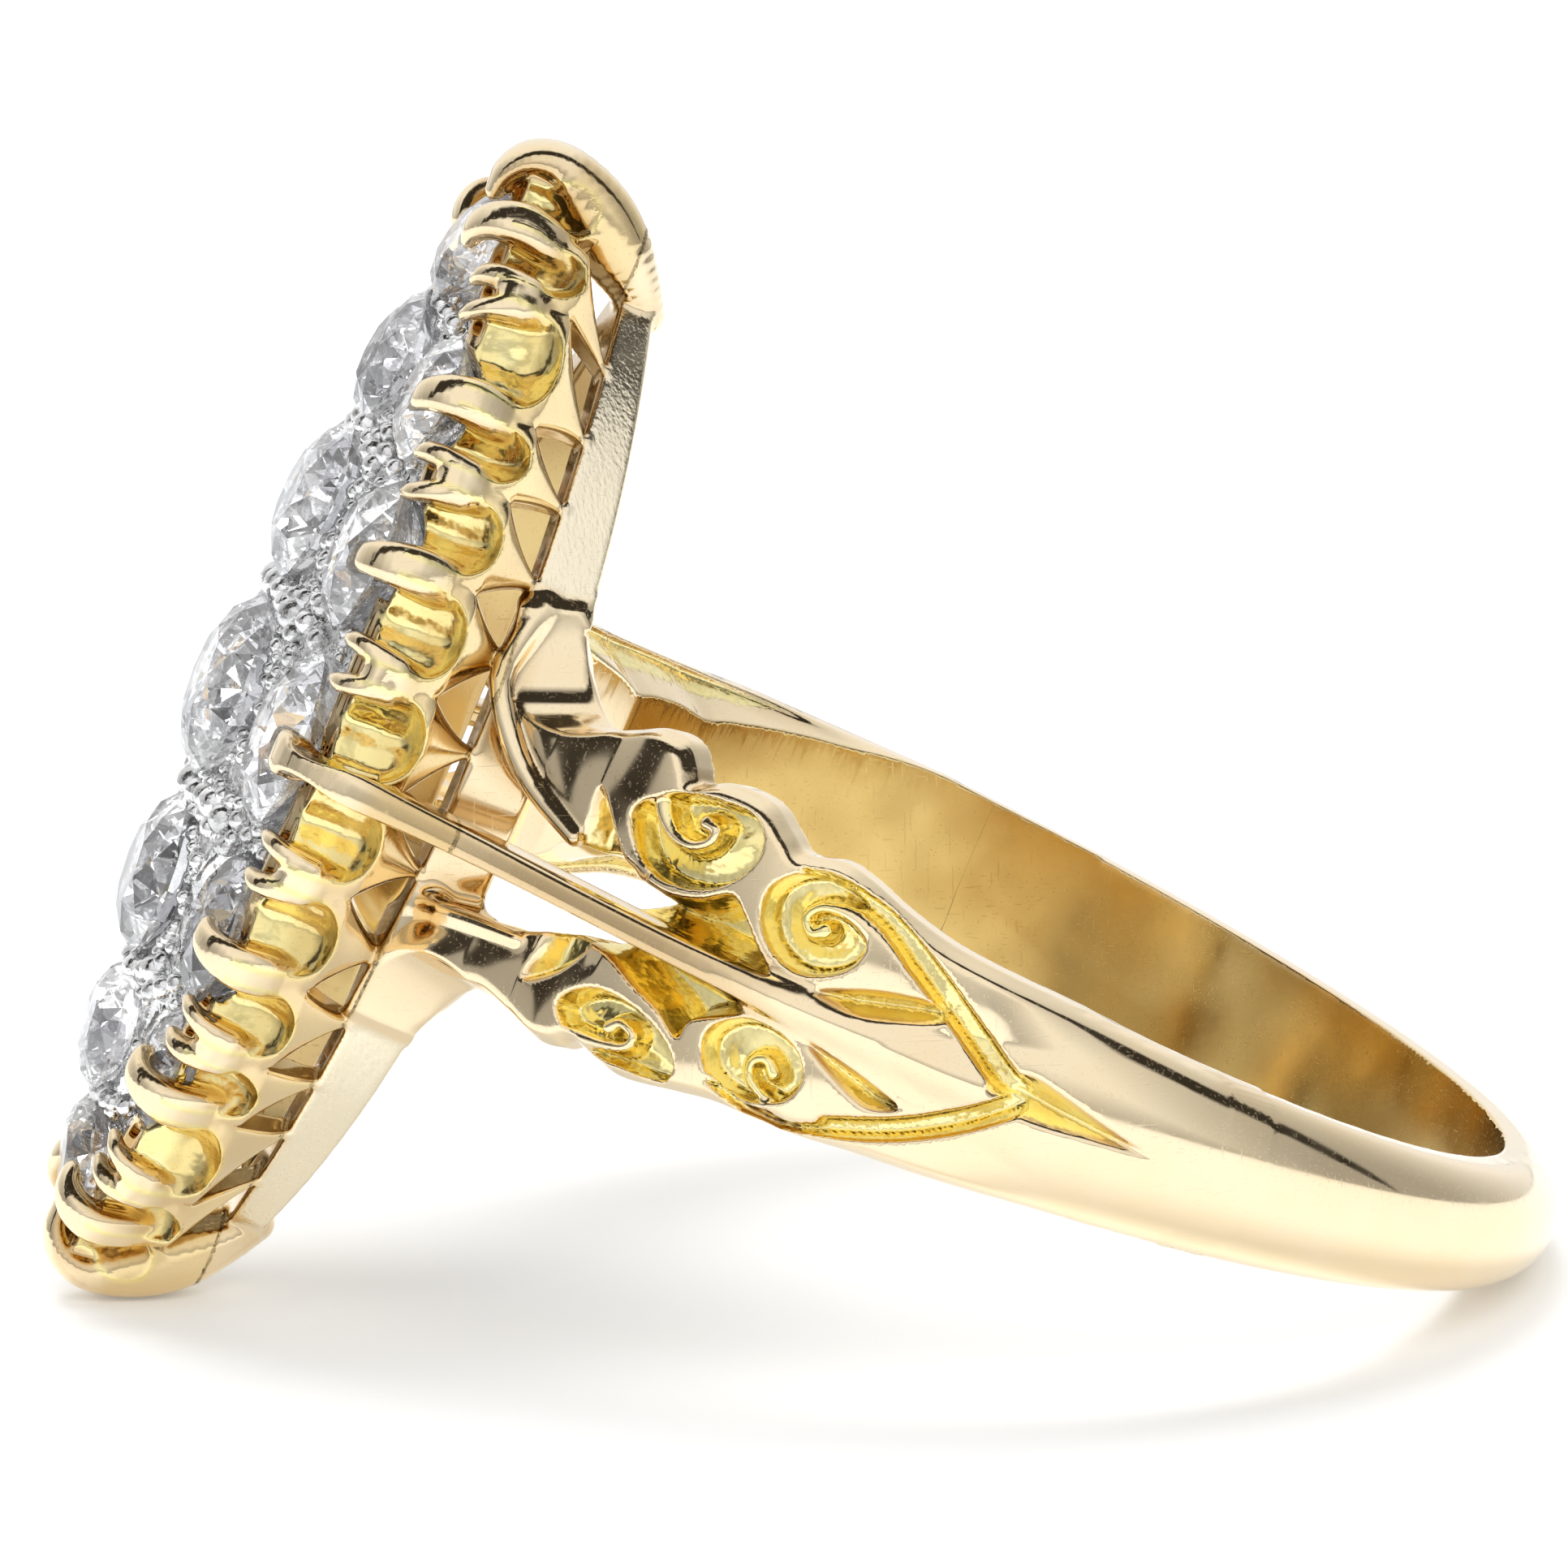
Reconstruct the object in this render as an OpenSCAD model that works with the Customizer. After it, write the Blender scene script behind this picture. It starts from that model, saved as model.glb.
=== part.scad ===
// Navette cluster ring, lying on its side on the lower tip of its head and the lower edge of its band.
// Ring frame used by the modules: X runs from the finger's centre to the head, Y to the near side and
// Z along the finger. Angles round the band start at the head, so the back of the band is at 180.
// The module lie() turns that frame into the resting pose.

/* [Finger] */
// Inside diameter of the band
finger_d = 17.3; // [15.5:0.1:19.5]

/* [Band] */
// Thickness of the metal at the crown of the D section
band_t = 1.35; // [1.1:0.05:1.6]
// Thickness of the D section at its two rims
rim_t = 0.35; // [0.25:0.05:0.5]
// Width of the band at its back
back_w = 2.0; // [1.8:0.1:2.4]
// Growth of the band's width from the back to its sides
side_gain = 1.2; // [0.9:0.1:1.4]

/* [Head] */
// Length of the crown from tip to tip
crown_l = 20.0; // [19.4:0.1:20.4]
// Width of the crown
crown_w = 9.6; // [9.3:0.1:9.9]
// Length of the base rail
rail_l = 17.2; // [16.8:0.1:17.6]
// Width of the base rail
rail_w = 8.6; // [8.3:0.1:8.9]
// Wall of the base rail
rail_t = 0.85; // [0.7:0.05:1]
// Height of the rail's underside above the finger's centre at the middle
rail_low = 9.15; // [9.05:0.05:9.3]
// Height of the rail's upper edge above the finger's centre
rail_top = 10.3; // [10.2:0.05:10.4]
// Height of the lips of the gallery's cups
lip_h = 11.05; // [10.95:0.05:11.15]
// Height of the crown's upper edge at the girdles of the outer stones
girdle_h = 12.45; // [12.35:0.05:12.55]
// Length of the gold over the two tip claws
mount_l = 20.44; // [20:0.02:20.8]

/* [Setting] */
// Thickness of the silver plate
plate_t = 0.9; // [0.7:0.05:1]
// Gap between a stone and the metal round it
seat_gap = 0.04; // [0.03:0.01:0.06]
// Diameter of a silver grain
grain_d = 0.5; // [0.4:0.05:0.55]

/* [Hidden] */
finger_r = finger_d / 2;
crown_hl = crown_l / 2;
crown_hw = crown_w / 2;
rail_hl = rail_l / 2;
rail_hw = rail_w / 2;

// The ring rests on two points: the tip claw's and the one on the band's edge, each given by its distance
// from the finger's centre toward or away from the head and its distance along the finger.
tip_x = 11.05;
tip_z = mount_l / 2 - 0.255;
rim_x = finger_r + rim_t + 0.497;
rim_z = back_w / 2 - 0.135;
// Lean of the finger's axis when the ring lies on both, and the height of the finger's centre.
lean = atan((tip_z - rim_z) / (tip_x + rim_x));
lift = tip_z * cos(lean) - tip_x * sin(lean);
// Shift that puts the middle of the ring's length over the origin.
shift_x = 3.225;

// Stones of one half of the middle row, and of the near row. Columns: place along the finger,
// place across, height of the girdle, diameter, outward lean, lean along, turn of the facets.
MID = [
    [0.00, 0, 13.62, 3.15, 0, 0, 8],
    [3.32, 0, 13.50, 2.78, 0, 3, 31],
    [5.92, 0, 13.26, 2.24, 0, 6, 17],
    [8.10, 0, 12.82, 2.04, 0, 14, 5],
];
NEAR = [
    [5.84, 2.24, 12.80, 2.20, 25, 5, 22],
    [3.24, 2.82, 12.88, 2.70, 26, 2, 36],
    [0.00, 3.04, 12.88, 3.00, 26, 0, 12],
    [-3.26, 2.80, 12.66, 2.62, 20, -2, 45],
    [-5.86, 2.17, 12.50, 2.06, 17, -5, 31],
];

// Rows of the upper shoulder branch, from the band to the rail.
// Columns: angle, lower edge, upper edge, outer radius.
BRANCH = [
    [83, -0.35, 1.36, 9.52],
    [70, -0.40, 1.70, 9.95],
    [64, -0.10, 1.98, 10.15],
    [60, 0.10, 2.14, 10.28],
    [56, 0.52, 2.08, 10.34],
    [53, 0.80, 2.20, 10.38],
    [49, 0.74, 2.60, 10.42],
    [45, 0.70, 2.76, 10.46],
    [42, 0.74, 2.60, 10.48],
    [39.5, 0.84, 2.92, 10.50],
    [37, 0.94, 2.56, 10.50],
    [33, 0.90, 2.42, 10.52],
    [29, 0.96, 2.70, 10.58],
    [25.5, 1.30, 3.30, 10.68],
    [22.5, 1.85, 4.00, 10.76],
];

// Rows of the spine bar that rises from the band to the middle claw.
// Columns: height, place across, width, depth.
SPINE = [
    [3.40, 9.20, 1.40, 0.90],
    [4.80, 8.75, 1.05, 0.95],
    [6.40, 7.95, 0.78, 0.90],
    [7.90, 7.05, 0.66, 0.85],
    [9.60, 6.05, 0.62, 0.75],
    [11.20, 5.35, 0.62, 0.65],
    [12.30, 5.00, 0.62, 0.55],
    [12.95, 4.60, 0.62, 0.42],
    [13.15, 4.15, 0.50, 0.26],
];

// Carved leaf cuts of the upper half of a shoulder.
// Columns: angle and height of one end, angle and height of the other, width, depth.
CUTS = [
    [97, 0.03, 84, 0.26, 0.60, 0.42],
    [85, 0.20, 62, 1.62, 0.46, 0.45],
    [74, 0.86, 62.5, 0.34, 0.40, 0.40],
    [58, 0.34, 52.5, 1.16, 0.50, 0.50],
    [36, 1.10, 31.5, 1.98, 0.44, 0.40],
];

// Scrolls of the upper half of a shoulder.
// Columns: angle, height, radius of the hollow, depth of the hollow, turns of the raised spiral.
SCROLLS = [
    [46.3, 1.74, 0.80, 0.42, 1.35],
    [60.4, 1.26, 0.62, 0.42, 1.25],
];

// Middles of the single claws and of the split claws of one half of a side.
SINGLE_CLAWS = [3.48, 6.15, 8.82];
SPLIT_CLAWS = [1.76, 4.98, 7.86];
// Middles of the gallery's cups of one half of a side.
CUPS = [0.90, 2.62, 4.25, 5.56, 7.02, 8.36, 9.30];

// Grains of one quarter of the head. Columns: place along, place across, height.
GRAINS = [
    [1.66, 1.50, 13.38], [1.72, 2.06, 13.20], [1.78, 0.42, 13.52],
    [4.60, 1.18, 13.16], [4.62, 1.80, 12.92], [4.82, 0.36, 13.24],
    [6.92, 0.95, 12.74], [7.02, 0.30, 12.98],
];

// Radius of the arcs of a navette of half length hl and half width hw.
function arc_r(hl, hw) = (hl * hl + hw * hw) / (2 * hw);
// Place across of a navette's side at the place z along it, and the direction outward there.
function side_y(z, hl, hw) =
    let (r = arc_r(hl, hw)) sqrt(max(r * r - z * z, 0)) - r + hw;
function side_turn(z, hl, hw) = asin(z / arc_r(hl, hw));
// A point at an angle, radius and height round the finger.
function round_finger(a, r, z) = [r * cos(a), r * sin(a), z];
function band_w(a) = back_w + side_gain * pow(abs(180 - a) / 90, 2);

module lie() {
    translate([shift_x, 0, lift]) rotate([0, lean, 0]) rotate([0, 0, 180]) children();
}

// A closed solid through rings of points that all have the same count. Seen from the last ring, each
// ring runs counter-clockwise.
module loft(rings) {
    n = len(rings[0]);
    m = len(rings);
    polyhedron(
        points = [for (ring = rings) each ring],
        faces = concat(
            [[for (i = [0:n - 1]) i]],
            [for (k = [0:m - 2], i = [0:n - 1]) each [
                [k * n + i, (k + 1) * n + i, (k + 1) * n + (i + 1) % n],
                [k * n + i, (k + 1) * n + (i + 1) % n, k * n + (i + 1) % n],
            ]],
            [[for (i = [n - 1:-1:0]) (m - 1) * n + i]]
        )
    );
}

// The plain D-section band, from one shoulder round the back to the other.
module shank() {
    steps = 36;
    from = 60;
    loft([for (k = [0:steps])
        let (a = from + k * (360 - 2 * from) / steps, w = band_w(a))
        concat(
            [round_finger(a, finger_r - 0.5, w / 2)],
            [for (b = [90:-30:-90])
                round_finger(a, finger_r + rim_t + (band_t - rim_t) * cos(b), w / 2 * sin(b))],
            [round_finger(a, finger_r - 0.5, -w / 2)]
        )
    ]);
}

// One carved branch of a shoulder, with rounded outer edges.
module branch() {
    edge = 0.36;
    loft([for (row = BRANCH)
        let (a = row[0], lo = row[1], hi = row[2], r = row[3], q = (hi - lo) / 5)
        [
            round_finger(a, finger_r - 0.5, lo),
            round_finger(a, r - edge, lo),
            round_finger(a, r - edge / 4, lo + q),
            round_finger(a, r, (lo + hi) / 2),
            round_finger(a, r - edge / 4, hi - q),
            round_finger(a, r - edge, hi),
            round_finger(a, finger_r - 0.5, hi),
        ]
    ]);
}

// A leaf-shaped cut with a V bottom between two places on the shoulder.
module leaf_cut(row) {
    r = 10.9;
    deep = r - 0.62 - row[5];
    a = (row[0] + row[2]) / 2;
    z = (row[1] + row[3]) / 2;
    along = [(row[2] - row[0]) * r * PI / 180, row[3] - row[1]];
    side = [-along[1], along[0]] / norm(along) * row[4] / 2;
    half_turn = side[0] / (r * PI / 180);
    top = [
        round_finger(row[0], r, row[1]),
        round_finger(a + half_turn, r, z + side[1]),
        round_finger(row[2], r, row[3]),
        round_finger(a - half_turn, r, z - side[1]),
    ];
    bottom = round_finger(a, deep, z);
    polyhedron(
        points = concat(top, [bottom]),
        faces = [[0, 1, 2], [0, 2, 3], [1, 0, 4], [2, 1, 4], [3, 2, 4], [0, 3, 4]]
    );
}

// Puts children at a place on the shoulder, with Z pointing away from the finger.
module on_shoulder(a, z) {
    rotate([0, 0, a]) translate([0, 0, z]) rotate([0, 90, 0]) children();
}

// The hollow of a scroll.
module scroll_hollow(row) {
    floor_r = 10.42 - row[3];
    on_shoulder(row[0], row[1])
        translate([0, 0, floor_r]) cylinder(r1 = row[2] * 0.92, r2 = row[2], h = 1.2, $fn = 18);
}

// The raised spiral inside a scroll's hollow, thick at its root and round at its eye.
module scroll_spiral(row) {
    steps = 15;
    foot = 10.42 - row[3] - 0.12;
    top = 10.36;
    on_shoulder(row[0], row[1]) {
        loft([for (k = [0:steps])
            let (
                s = k / steps,
                b = -53 + 360 * row[4] * s,
                mid = row[2] * (0.96 - 0.80 * s),
                half = 0.05 + 0.05 * (1 - s),
                out = mid + half,
                in = mid - half
            )
            [
                [in * cos(b), in * sin(b), foot],
                [mid * cos(b), mid * sin(b), top],
                [out * cos(b), out * sin(b), foot],
            ]
        ]);
        translate([0, 0, foot]) cylinder(r1 = 0.26, r2 = 0.12, h = top - foot, $fn = 10);
    }
}

// Puts children in all four quarters of the shoulders.
module quarters() {
    for (near = [0, 1], up = [0, 1]) mirror([0, near, 0]) mirror([0, 0, up]) children();
}

// The band and its four carved branches.
module carved_band() {
    difference() {
        union() {
            shank();
            quarters() branch();
        }
        quarters() {
            for (row = SCROLLS) scroll_hollow(row);
            for (row = CUTS) leaf_cut(row);
        }
    }
    quarters() for (row = SCROLLS) scroll_spiral(row);
}

// The bar that rises from the shoulder and ends as the claw over the middle outer stone.
module spine() {
    last = len(SPINE) - 1;
    loft([for (k = [0:last])
        let (
            row = SPINE[k],
            here = [row[0], row[1]],
            before = [SPINE[max(k - 1, 0)][0], SPINE[max(k - 1, 0)][1]],
            after = [SPINE[min(k + 1, last)][0], SPINE[min(k + 1, last)][1]],
            along = (after - before) / norm(after - before),
            out = [-along[1], along[0]] * row[3] / 2,
            w = row[2] / 2
        )
        [
            [here[0] + out[0], here[1] + out[1], -w * 0.7],
            [here[0] + out[0], here[1] + out[1], w * 0.7],
            [here[0], here[1], w],
            [here[0] - out[0], here[1] - out[1], w * 0.55],
            [here[0] - out[0], here[1] - out[1], -w * 0.55],
            [here[0], here[1], -w],
        ]
    ]);
}

// A solid navette standing on a height, with its arcs in the plane across the head.
module navette(hl, hw, low, high) {
    r = arc_r(hl, hw);
    translate([low, 0, 0]) rotate([0, 90, 0]) linear_extrude(high - low) intersection() {
        translate([0, r - hw]) circle(r, $fn = 130);
        translate([0, hw - r]) circle(r, $fn = 130);
    }
}

// The base rail: a navette hoop whose underside rises toward its ends.
module rail() {
    rise = 0.62;
    arch_r = (rail_hl * rail_hl + rise * rise) / (2 * rise);
    intersection() {
        difference() {
            navette(rail_hl, rail_hw, rail_low, rail_top);
            navette(rail_hl - 1.6, rail_hw - rail_t, rail_low - 1, rail_top + 1);
        }
        translate([rail_low + arch_r, 0, 0]) rotate([90, 0, 0])
            cylinder(r = arch_r, h = rail_w + 2, center = true, $fn = 260);
    }
}

// Puts children on the near side of the crown at the place z along it, with Y pointing outward.
module on_side(z, hl = crown_hl, hw = crown_hw) {
    translate([0, side_y(z, hl, hw), z]) rotate([side_turn(z, hl, hw), 0, 0]) children();
}

// The crown wall with its scooped cups and notched lower edge, and the feet under the cups.
module crown_wall() {
    wall = 0.85;
    difference() {
        navette(crown_hl, crown_hw, lip_h, girdle_h);
        navette(crown_hl - 1.7, crown_hw - wall, lip_h - 1, girdle_h + 1);
        quarters() for (z = CUPS) {
            cup_r = z > 8 ? 0.42 : 0.56;
            on_side(z) translate([lip_h + 0.2, 0.18, 0]) rotate([0, 90, 0])
                cylinder(r1 = cup_r * 0.8, r2 = cup_r, h = 2, $fn = 12);
        }
        quarters() for (z = concat([0], SINGLE_CLAWS, SPLIT_CLAWS))
                on_side(z) translate([lip_h, 0, 0]) rotate([90, 0, 0])
                    cylinder(r = 0.45, h = 3, center = true, $fn = 4);
    }
    quarters() for (z = CUPS) if (z < 9) foot(z);
}

// One foot: a blade that narrows from the cup's lip to a point on the rail.
module foot(z) {
    top_y = side_y(z, crown_hl, crown_hw) - 0.42;
    low_z = z * 0.94;
    low_y = side_y(low_z, rail_hl, rail_hw) - 0.38;
    wide = z > 8 ? 0.30 : 0.42;
    loft([
        [for (b = [45:90:315]) [rail_top - 0.12, low_y + 0.28 * cos(b), low_z + 0.22 * sin(b)]],
        [for (b = [45:90:315]) [lip_h + 0.1, top_y + 0.42 * cos(b), z + 1.414 * wide * sin(b)]],
    ]);
}

// A claw from the crown's wall over the edge of a stone. Its rows hold height, distance outward from
// the crown's side, width and depth.
module claw(z, rows) {
    on_side(z) loft([for (row = rows)
        [for (b = [0:60:300]) [
            row[0] + row[3] / 2 * cos(b) * 0.6,
            row[1] + row[3] / 2 * cos(b),
            row[2] / 2 * sin(b),
        ]]
    ]);
}

// Heights, distances outward, widths and depths of a single and of a split claw.
SINGLE = [
    [11.75, -0.30, 0.50, 0.50],
    [12.20, -0.10, 0.74, 0.62],
    [12.70, -0.02, 0.70, 0.55],
    [13.02, -0.32, 0.62, 0.38],
    [13.10, -0.72, 0.44, 0.22],
];
PRONG = [
    [11.80, -0.30, 0.42, 0.46],
    [12.25, -0.10, 0.40, 0.52],
    [12.62, -0.20, 0.32, 0.40],
    [12.76, -0.50, 0.22, 0.20],
];

module side_claws() {
    for (up = [0, 1]) mirror([0, 0, up]) {
        for (z = SINGLE_CLAWS) claw(z, SINGLE);
        for (z = SPLIT_CLAWS, side = [-1, 1]) claw(z + side * 0.30, PRONG);
    }
}

// The claw that wraps round a tip of the navette, from the rail's end over the tip stone.
module tip_claw() {
    rows = [
        [9.85, 8.30, 0.90, 0.60],
        [10.50, 9.05, 0.95, 0.62],
        [11.30, 9.75, 0.95, 0.62],
        [12.05, 9.98, 0.85, 0.55],
        [12.62, 9.78, 0.70, 0.42],
        [12.86, 9.38, 0.50, 0.26],
        [12.86, 8.96, 0.36, 0.20],
    ];
    last = len(rows) - 1;
    loft([for (k = [0:last])
        let (
            row = rows[k],
            before = rows[max(k - 1, 0)],
            after = rows[min(k + 1, last)],
            step = [after[0] - before[0], after[1] - before[1]],
            out = [-step[1], step[0]] / norm(step) * row[3] / 2
        )
        [for (b = [0:45:315]) [
            row[0] + out[0] * cos(b),
            -row[2] / 2 * sin(b),
            row[1] + out[1] * cos(b),
        ]]
    ]);
}

module gold_mount() {
    color([0.88, 0.71, 0.38]) lie() difference() {
        resize([0, 0, mount_l]) difference() {
            union() {
                carved_band();
                for (near = [0, 1]) mirror([0, near, 0]) {
                    spine();
                    side_claws();
                }
                rail();
                crown_wall();
                for (up = [0, 1]) mirror([0, 0, up]) tip_claw();
            }
            for (row = ALL_STONES) seat(row);
        }
        cylinder(r = finger_r, h = 30, center = true, $fn = 180);
    }
}

// Puts children at a stone's place with Z along its axis, and X along the head's length.
module at_stone(row) {
    translate([row[2], row[1], row[0]]) rotate([-row[4], 0, 0]) rotate([0, 90 - row[5], 0])
        rotate([0, 0, 180]) children();
}

// An old-cut diamond with table, crown, girdle, pavilion and culet, its girdle at Z = 0.
module old_cut(d, turn) {
    r = d / 2;
    // Columns: height, radius, count of corners, turn as a share of the step between corners.
    rows = [
        [0.175 * d, 0.52 * r, 8, 0],
        [0.115 * d, 0.80 * r, 8, 0.5],
        [0.012 * d, r, 16, 0],
        [-0.012 * d, r, 16, 0],
        [-0.20 * d, 0.60 * r, 8, 0.5],
        [-0.40 * d, 0.10 * r, 8, 0],
    ];
    first = [0, 8, 16, 32, 48, 56];
    polyhedron(
        points = [for (row = rows, i = [0:row[2] - 1])
            let (b = turn + (i + row[3]) * 360 / row[2])
            [row[1] * cos(b), row[1] * sin(b), row[0]]],
        faces = concat(
            [[for (i = [7:-1:0]) i]],
            [for (i = [0:7]) let (j = (i + 1) % 8, g = first[2], p = 2 * i) each [
                [i, j, first[1] + i],
                [first[1] + i, j, g + (p + 2) % 16],
                [j, first[1] + j, g + (p + 2) % 16],
                [first[1] + i, g + p + 1, g + p],
                [first[1] + i, g + (p + 2) % 16, g + p + 1],
            ]],
            [for (i = [0:15]) let (j = (i + 1) % 16) each [
                [first[2] + i, first[2] + j, first[3] + j],
                [first[2] + i, first[3] + j, first[3] + i],
            ]],
            [for (i = [0:7]) let (j = (i + 1) % 8, g = first[3], p = 2 * i, m = first[4], c = first[5])
                each [
                    [g + p, g + p + 1, m + i],
                    [g + p + 1, g + (p + 2) % 16, m + i],
                    [m + i, g + (p + 2) % 16, c + j],
                    [m + j, c + j, g + (p + 2) % 16],
                    [m + i, c + j, c + i],
                ]],
            [[for (i = [0:7]) first[5] + i]]
        )
    );
}

module stone(row) {
    color([0.9, 0.92, 0.94]) lie() at_stone(row) old_cut(row[3], row[6]);
}

// The room that a stone takes in the metal round it: round, and larger than the stone by the gap.
module seat(row) {
    sides = 20;
    d = row[3];
    r = (d / 2 + seat_gap) / cos(180 / sides);
    at_stone(row) rotate_extrude($fn = sides) polygon([
        [0, 0.175 * d + seat_gap],
        [0.53 * r, 0.175 * d + seat_gap],
        [0.82 * r, 0.125 * d + seat_gap],
        [r, 0.02 * d + seat_gap],
        [r, -0.02 * d - seat_gap],
        [0.64 * r, -0.20 * d - seat_gap],
        [0.14 * r, -0.40 * d - seat_gap],
        [0, -0.40 * d - seat_gap],
    ]);
}

function lower(row) = [-row[0], row[1], row[2], row[3], row[4], -row[5], row[6] + 9];
function far(row) = [row[0], -row[1], row[2], row[3], -row[4], row[5], row[6] + 4];

// Every stone's row once, for the seats.
ALL_STONES = concat(
    MID,
    [for (row = MID) if (row[0] > 0) lower(row)],
    NEAR,
    [for (row = NEAR) far(row)]
);

// The room that a stone takes in the silver: a stepped seat, wide from under the girdle upward.
module silver_seat(row) {
    sides = 12;
    d = row[3];
    out = 1 / cos(180 / sides);
    at_stone(row) {
        translate([0, 0, -0.12 * d]) cylinder(r = (d / 2 + seat_gap) * out, h = 2.5, $fn = sides);
        translate([0, 0, -2.5]) cylinder(r = 0.4 * d * out, h = 3, $fn = sides);
    }
}

// A grain: a short post out of the plate with a stepped head.
module grain(row) {
    r = grain_d / 2;
    translate([row[2], row[1], row[0]]) rotate([0, 90, 0]) {
        translate([0, 0, -0.4]) cylinder(r = r, h = 0.45, $fn = 8);
        cylinder(r = r * 0.62, h = 0.2, $fn = 8);
    }
}

// The domed silver plate with a seat for each stone, and its grains.
module silver_setting() {
    hl = crown_hl - 1.75;
    hw = crown_hw - 0.90;
    steps = 14;
    reach = hl * 0.96;
    color([0.82, 0.83, 0.84]) lie() difference() {
        union() {
            loft([for (k = [0:steps])
                let (
                    z = reach * (2 * k / steps - 1),
                    w = side_y(z, hl, hw),
                    mid = 13.52 - 0.0115 * z * z,
                    rim = 12.42 - 0.002 * z * z
                )
                [
                    [mid - plate_t, 0, z],
                    [rim - plate_t, -w, z],
                    [rim, -w, z],
                    [(mid + rim) / 2 + 0.18, -w * 0.55, z],
                    [mid - 0.10, -w * 0.3, z],
                    [mid - 0.10, w * 0.3, z],
                    [(mid + rim) / 2 + 0.18, w * 0.55, z],
                    [rim, w, z],
                    [rim - plate_t, w, z],
                ]
            ]);
            quarters() for (row = GRAINS) grain(row);
        }
        for (row = ALL_STONES) silver_seat(row);
    }
}

gold_mount();
silver_setting();
stone(MID[2]);  // stone_mid_1
stone(MID[1]);  // stone_mid_2
stone(MID[0]);  // stone_mid_3
stone(lower(MID[1]));  // stone_mid_4
stone(lower(MID[2]));  // stone_mid_5
stone(MID[3]);  // stone_tip_1
stone(lower(MID[3]));  // stone_tip_2
stone(NEAR[0]);  // stone_near_1
stone(NEAR[1]);  // stone_near_2
stone(NEAR[2]);  // stone_near_3
stone(NEAR[3]);  // stone_near_4
stone(NEAR[4]);  // stone_near_5
stone(far(NEAR[0]));  // stone_far_1
stone(far(NEAR[1]));  // stone_far_2
stone(far(NEAR[2]));  // stone_far_3
stone(far(NEAR[3]));  // stone_far_4
stone(far(NEAR[4]));  // stone_far_5
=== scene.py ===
# Navette cluster ring lying on its side, in carved yellow gold with silver-set old-cut diamonds.
# Lengths in the modelling functions are in millimetres in the ring's own frame: h runs from the finger's
# centre to the head, t to the near side and u along the finger. lie_down() turns them into the model's
# frame.
import math

import bpy
import numpy as np
from mathutils import Matrix, Vector


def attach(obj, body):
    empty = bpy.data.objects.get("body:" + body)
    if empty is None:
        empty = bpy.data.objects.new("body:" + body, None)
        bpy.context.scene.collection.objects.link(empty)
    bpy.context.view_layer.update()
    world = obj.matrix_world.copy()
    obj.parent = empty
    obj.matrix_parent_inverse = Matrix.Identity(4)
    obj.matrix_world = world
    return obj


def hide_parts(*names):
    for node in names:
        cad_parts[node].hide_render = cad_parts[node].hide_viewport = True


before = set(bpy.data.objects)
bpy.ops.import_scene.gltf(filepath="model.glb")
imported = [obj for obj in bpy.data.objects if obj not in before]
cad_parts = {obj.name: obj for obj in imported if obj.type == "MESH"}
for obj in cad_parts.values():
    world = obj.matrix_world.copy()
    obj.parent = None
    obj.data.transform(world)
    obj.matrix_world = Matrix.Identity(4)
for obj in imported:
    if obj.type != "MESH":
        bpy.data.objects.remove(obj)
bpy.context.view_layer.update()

MM = 0.001
PHOTO_SIZE = 1932

# The casting's cell, and the distance that an empty sample starts with.
CELL = 0.05
OPEN_AIR = 3.0

# Sizes of the ring, as in the part's source.
FINGER_R = 8.65
RIM_R = 9.0
BAND_R = 10.0
BAND_FROM = 103
BACK_HALF_W = 1.0
SIDE_GAIN = 0.6
CROWN_HL = 10.0
CROWN_HW = 4.8
RAIL_HL = 8.6
RAIL_HW = 4.3
RAIL_WALL = 0.85
RAIL_TOP = 10.3
RAIL_LOW = 9.15
RAIL_RISE = 0.62
LIP_H = 11.05
GIRDLE_H = 12.45

# Resting pose: the two points that the ring lies on, as distances from the finger's centre.
TIP_REST = (11.05, 9.965)
RIM_REST = (9.497, 0.865)
LEAN = math.atan((TIP_REST[1] - RIM_REST[1]) / (TIP_REST[0] + RIM_REST[0]))
LIFT = TIP_REST[1] * math.cos(LEAN) - TIP_REST[0] * math.sin(LEAN)
SHIFT_X = 3.225


def lie_down(points):
    """Points (h, t, u) in mm to the model's frame in metres."""
    h, t, u = points[:, 0], points[:, 1], points[:, 2]
    c, s = math.cos(LEAN), math.sin(LEAN)
    return np.stack([SHIFT_X - h * c + u * s, -t, LIFT + h * s + u * c], axis=1) * MM


def stand_up(places):
    """The inverse of lie_down()."""
    c, s = math.cos(LEAN), math.sin(LEAN)
    x = places[:, 0] / MM - SHIFT_X
    z = places[:, 2] / MM - LIFT
    return np.stack([-x * c + z * s, -places[:, 1] / MM, x * s + z * c], axis=1)


def turn_down(vectors):
    """Directions (h, t, u) to the model's frame."""
    h, t, u = vectors[:, 0], vectors[:, 1], vectors[:, 2]
    c, s = math.cos(LEAN), math.sin(LEAN)
    return np.stack([-h * c + u * s, -t, h * s + u * c], axis=1)


def unit(vectors):
    """The same directions with a length of 1."""
    return vectors / np.maximum(np.linalg.norm(vectors, axis=1), 1e-9)[:, None]


def head_angle(h, t):
    """Angle round the finger from the head, in degrees."""
    return np.degrees(np.arctan2(np.abs(t), h))


def by_angle(rows, angle):
    """The second column of a table at angles, its first column."""
    table = np.array(rows, float)
    return np.interp(angle, table[:, 0], table[:, 1])


# Metal forms as distance fields.

def soft_min(a, b, blend):
    """The smaller of two distances, with a fillet where they are close."""
    if blend <= 0:
        return np.minimum(a, b)
    near = np.maximum(blend - np.abs(a - b), 0) / blend
    return np.minimum(a, b) - near * near * blend * 0.25


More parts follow.
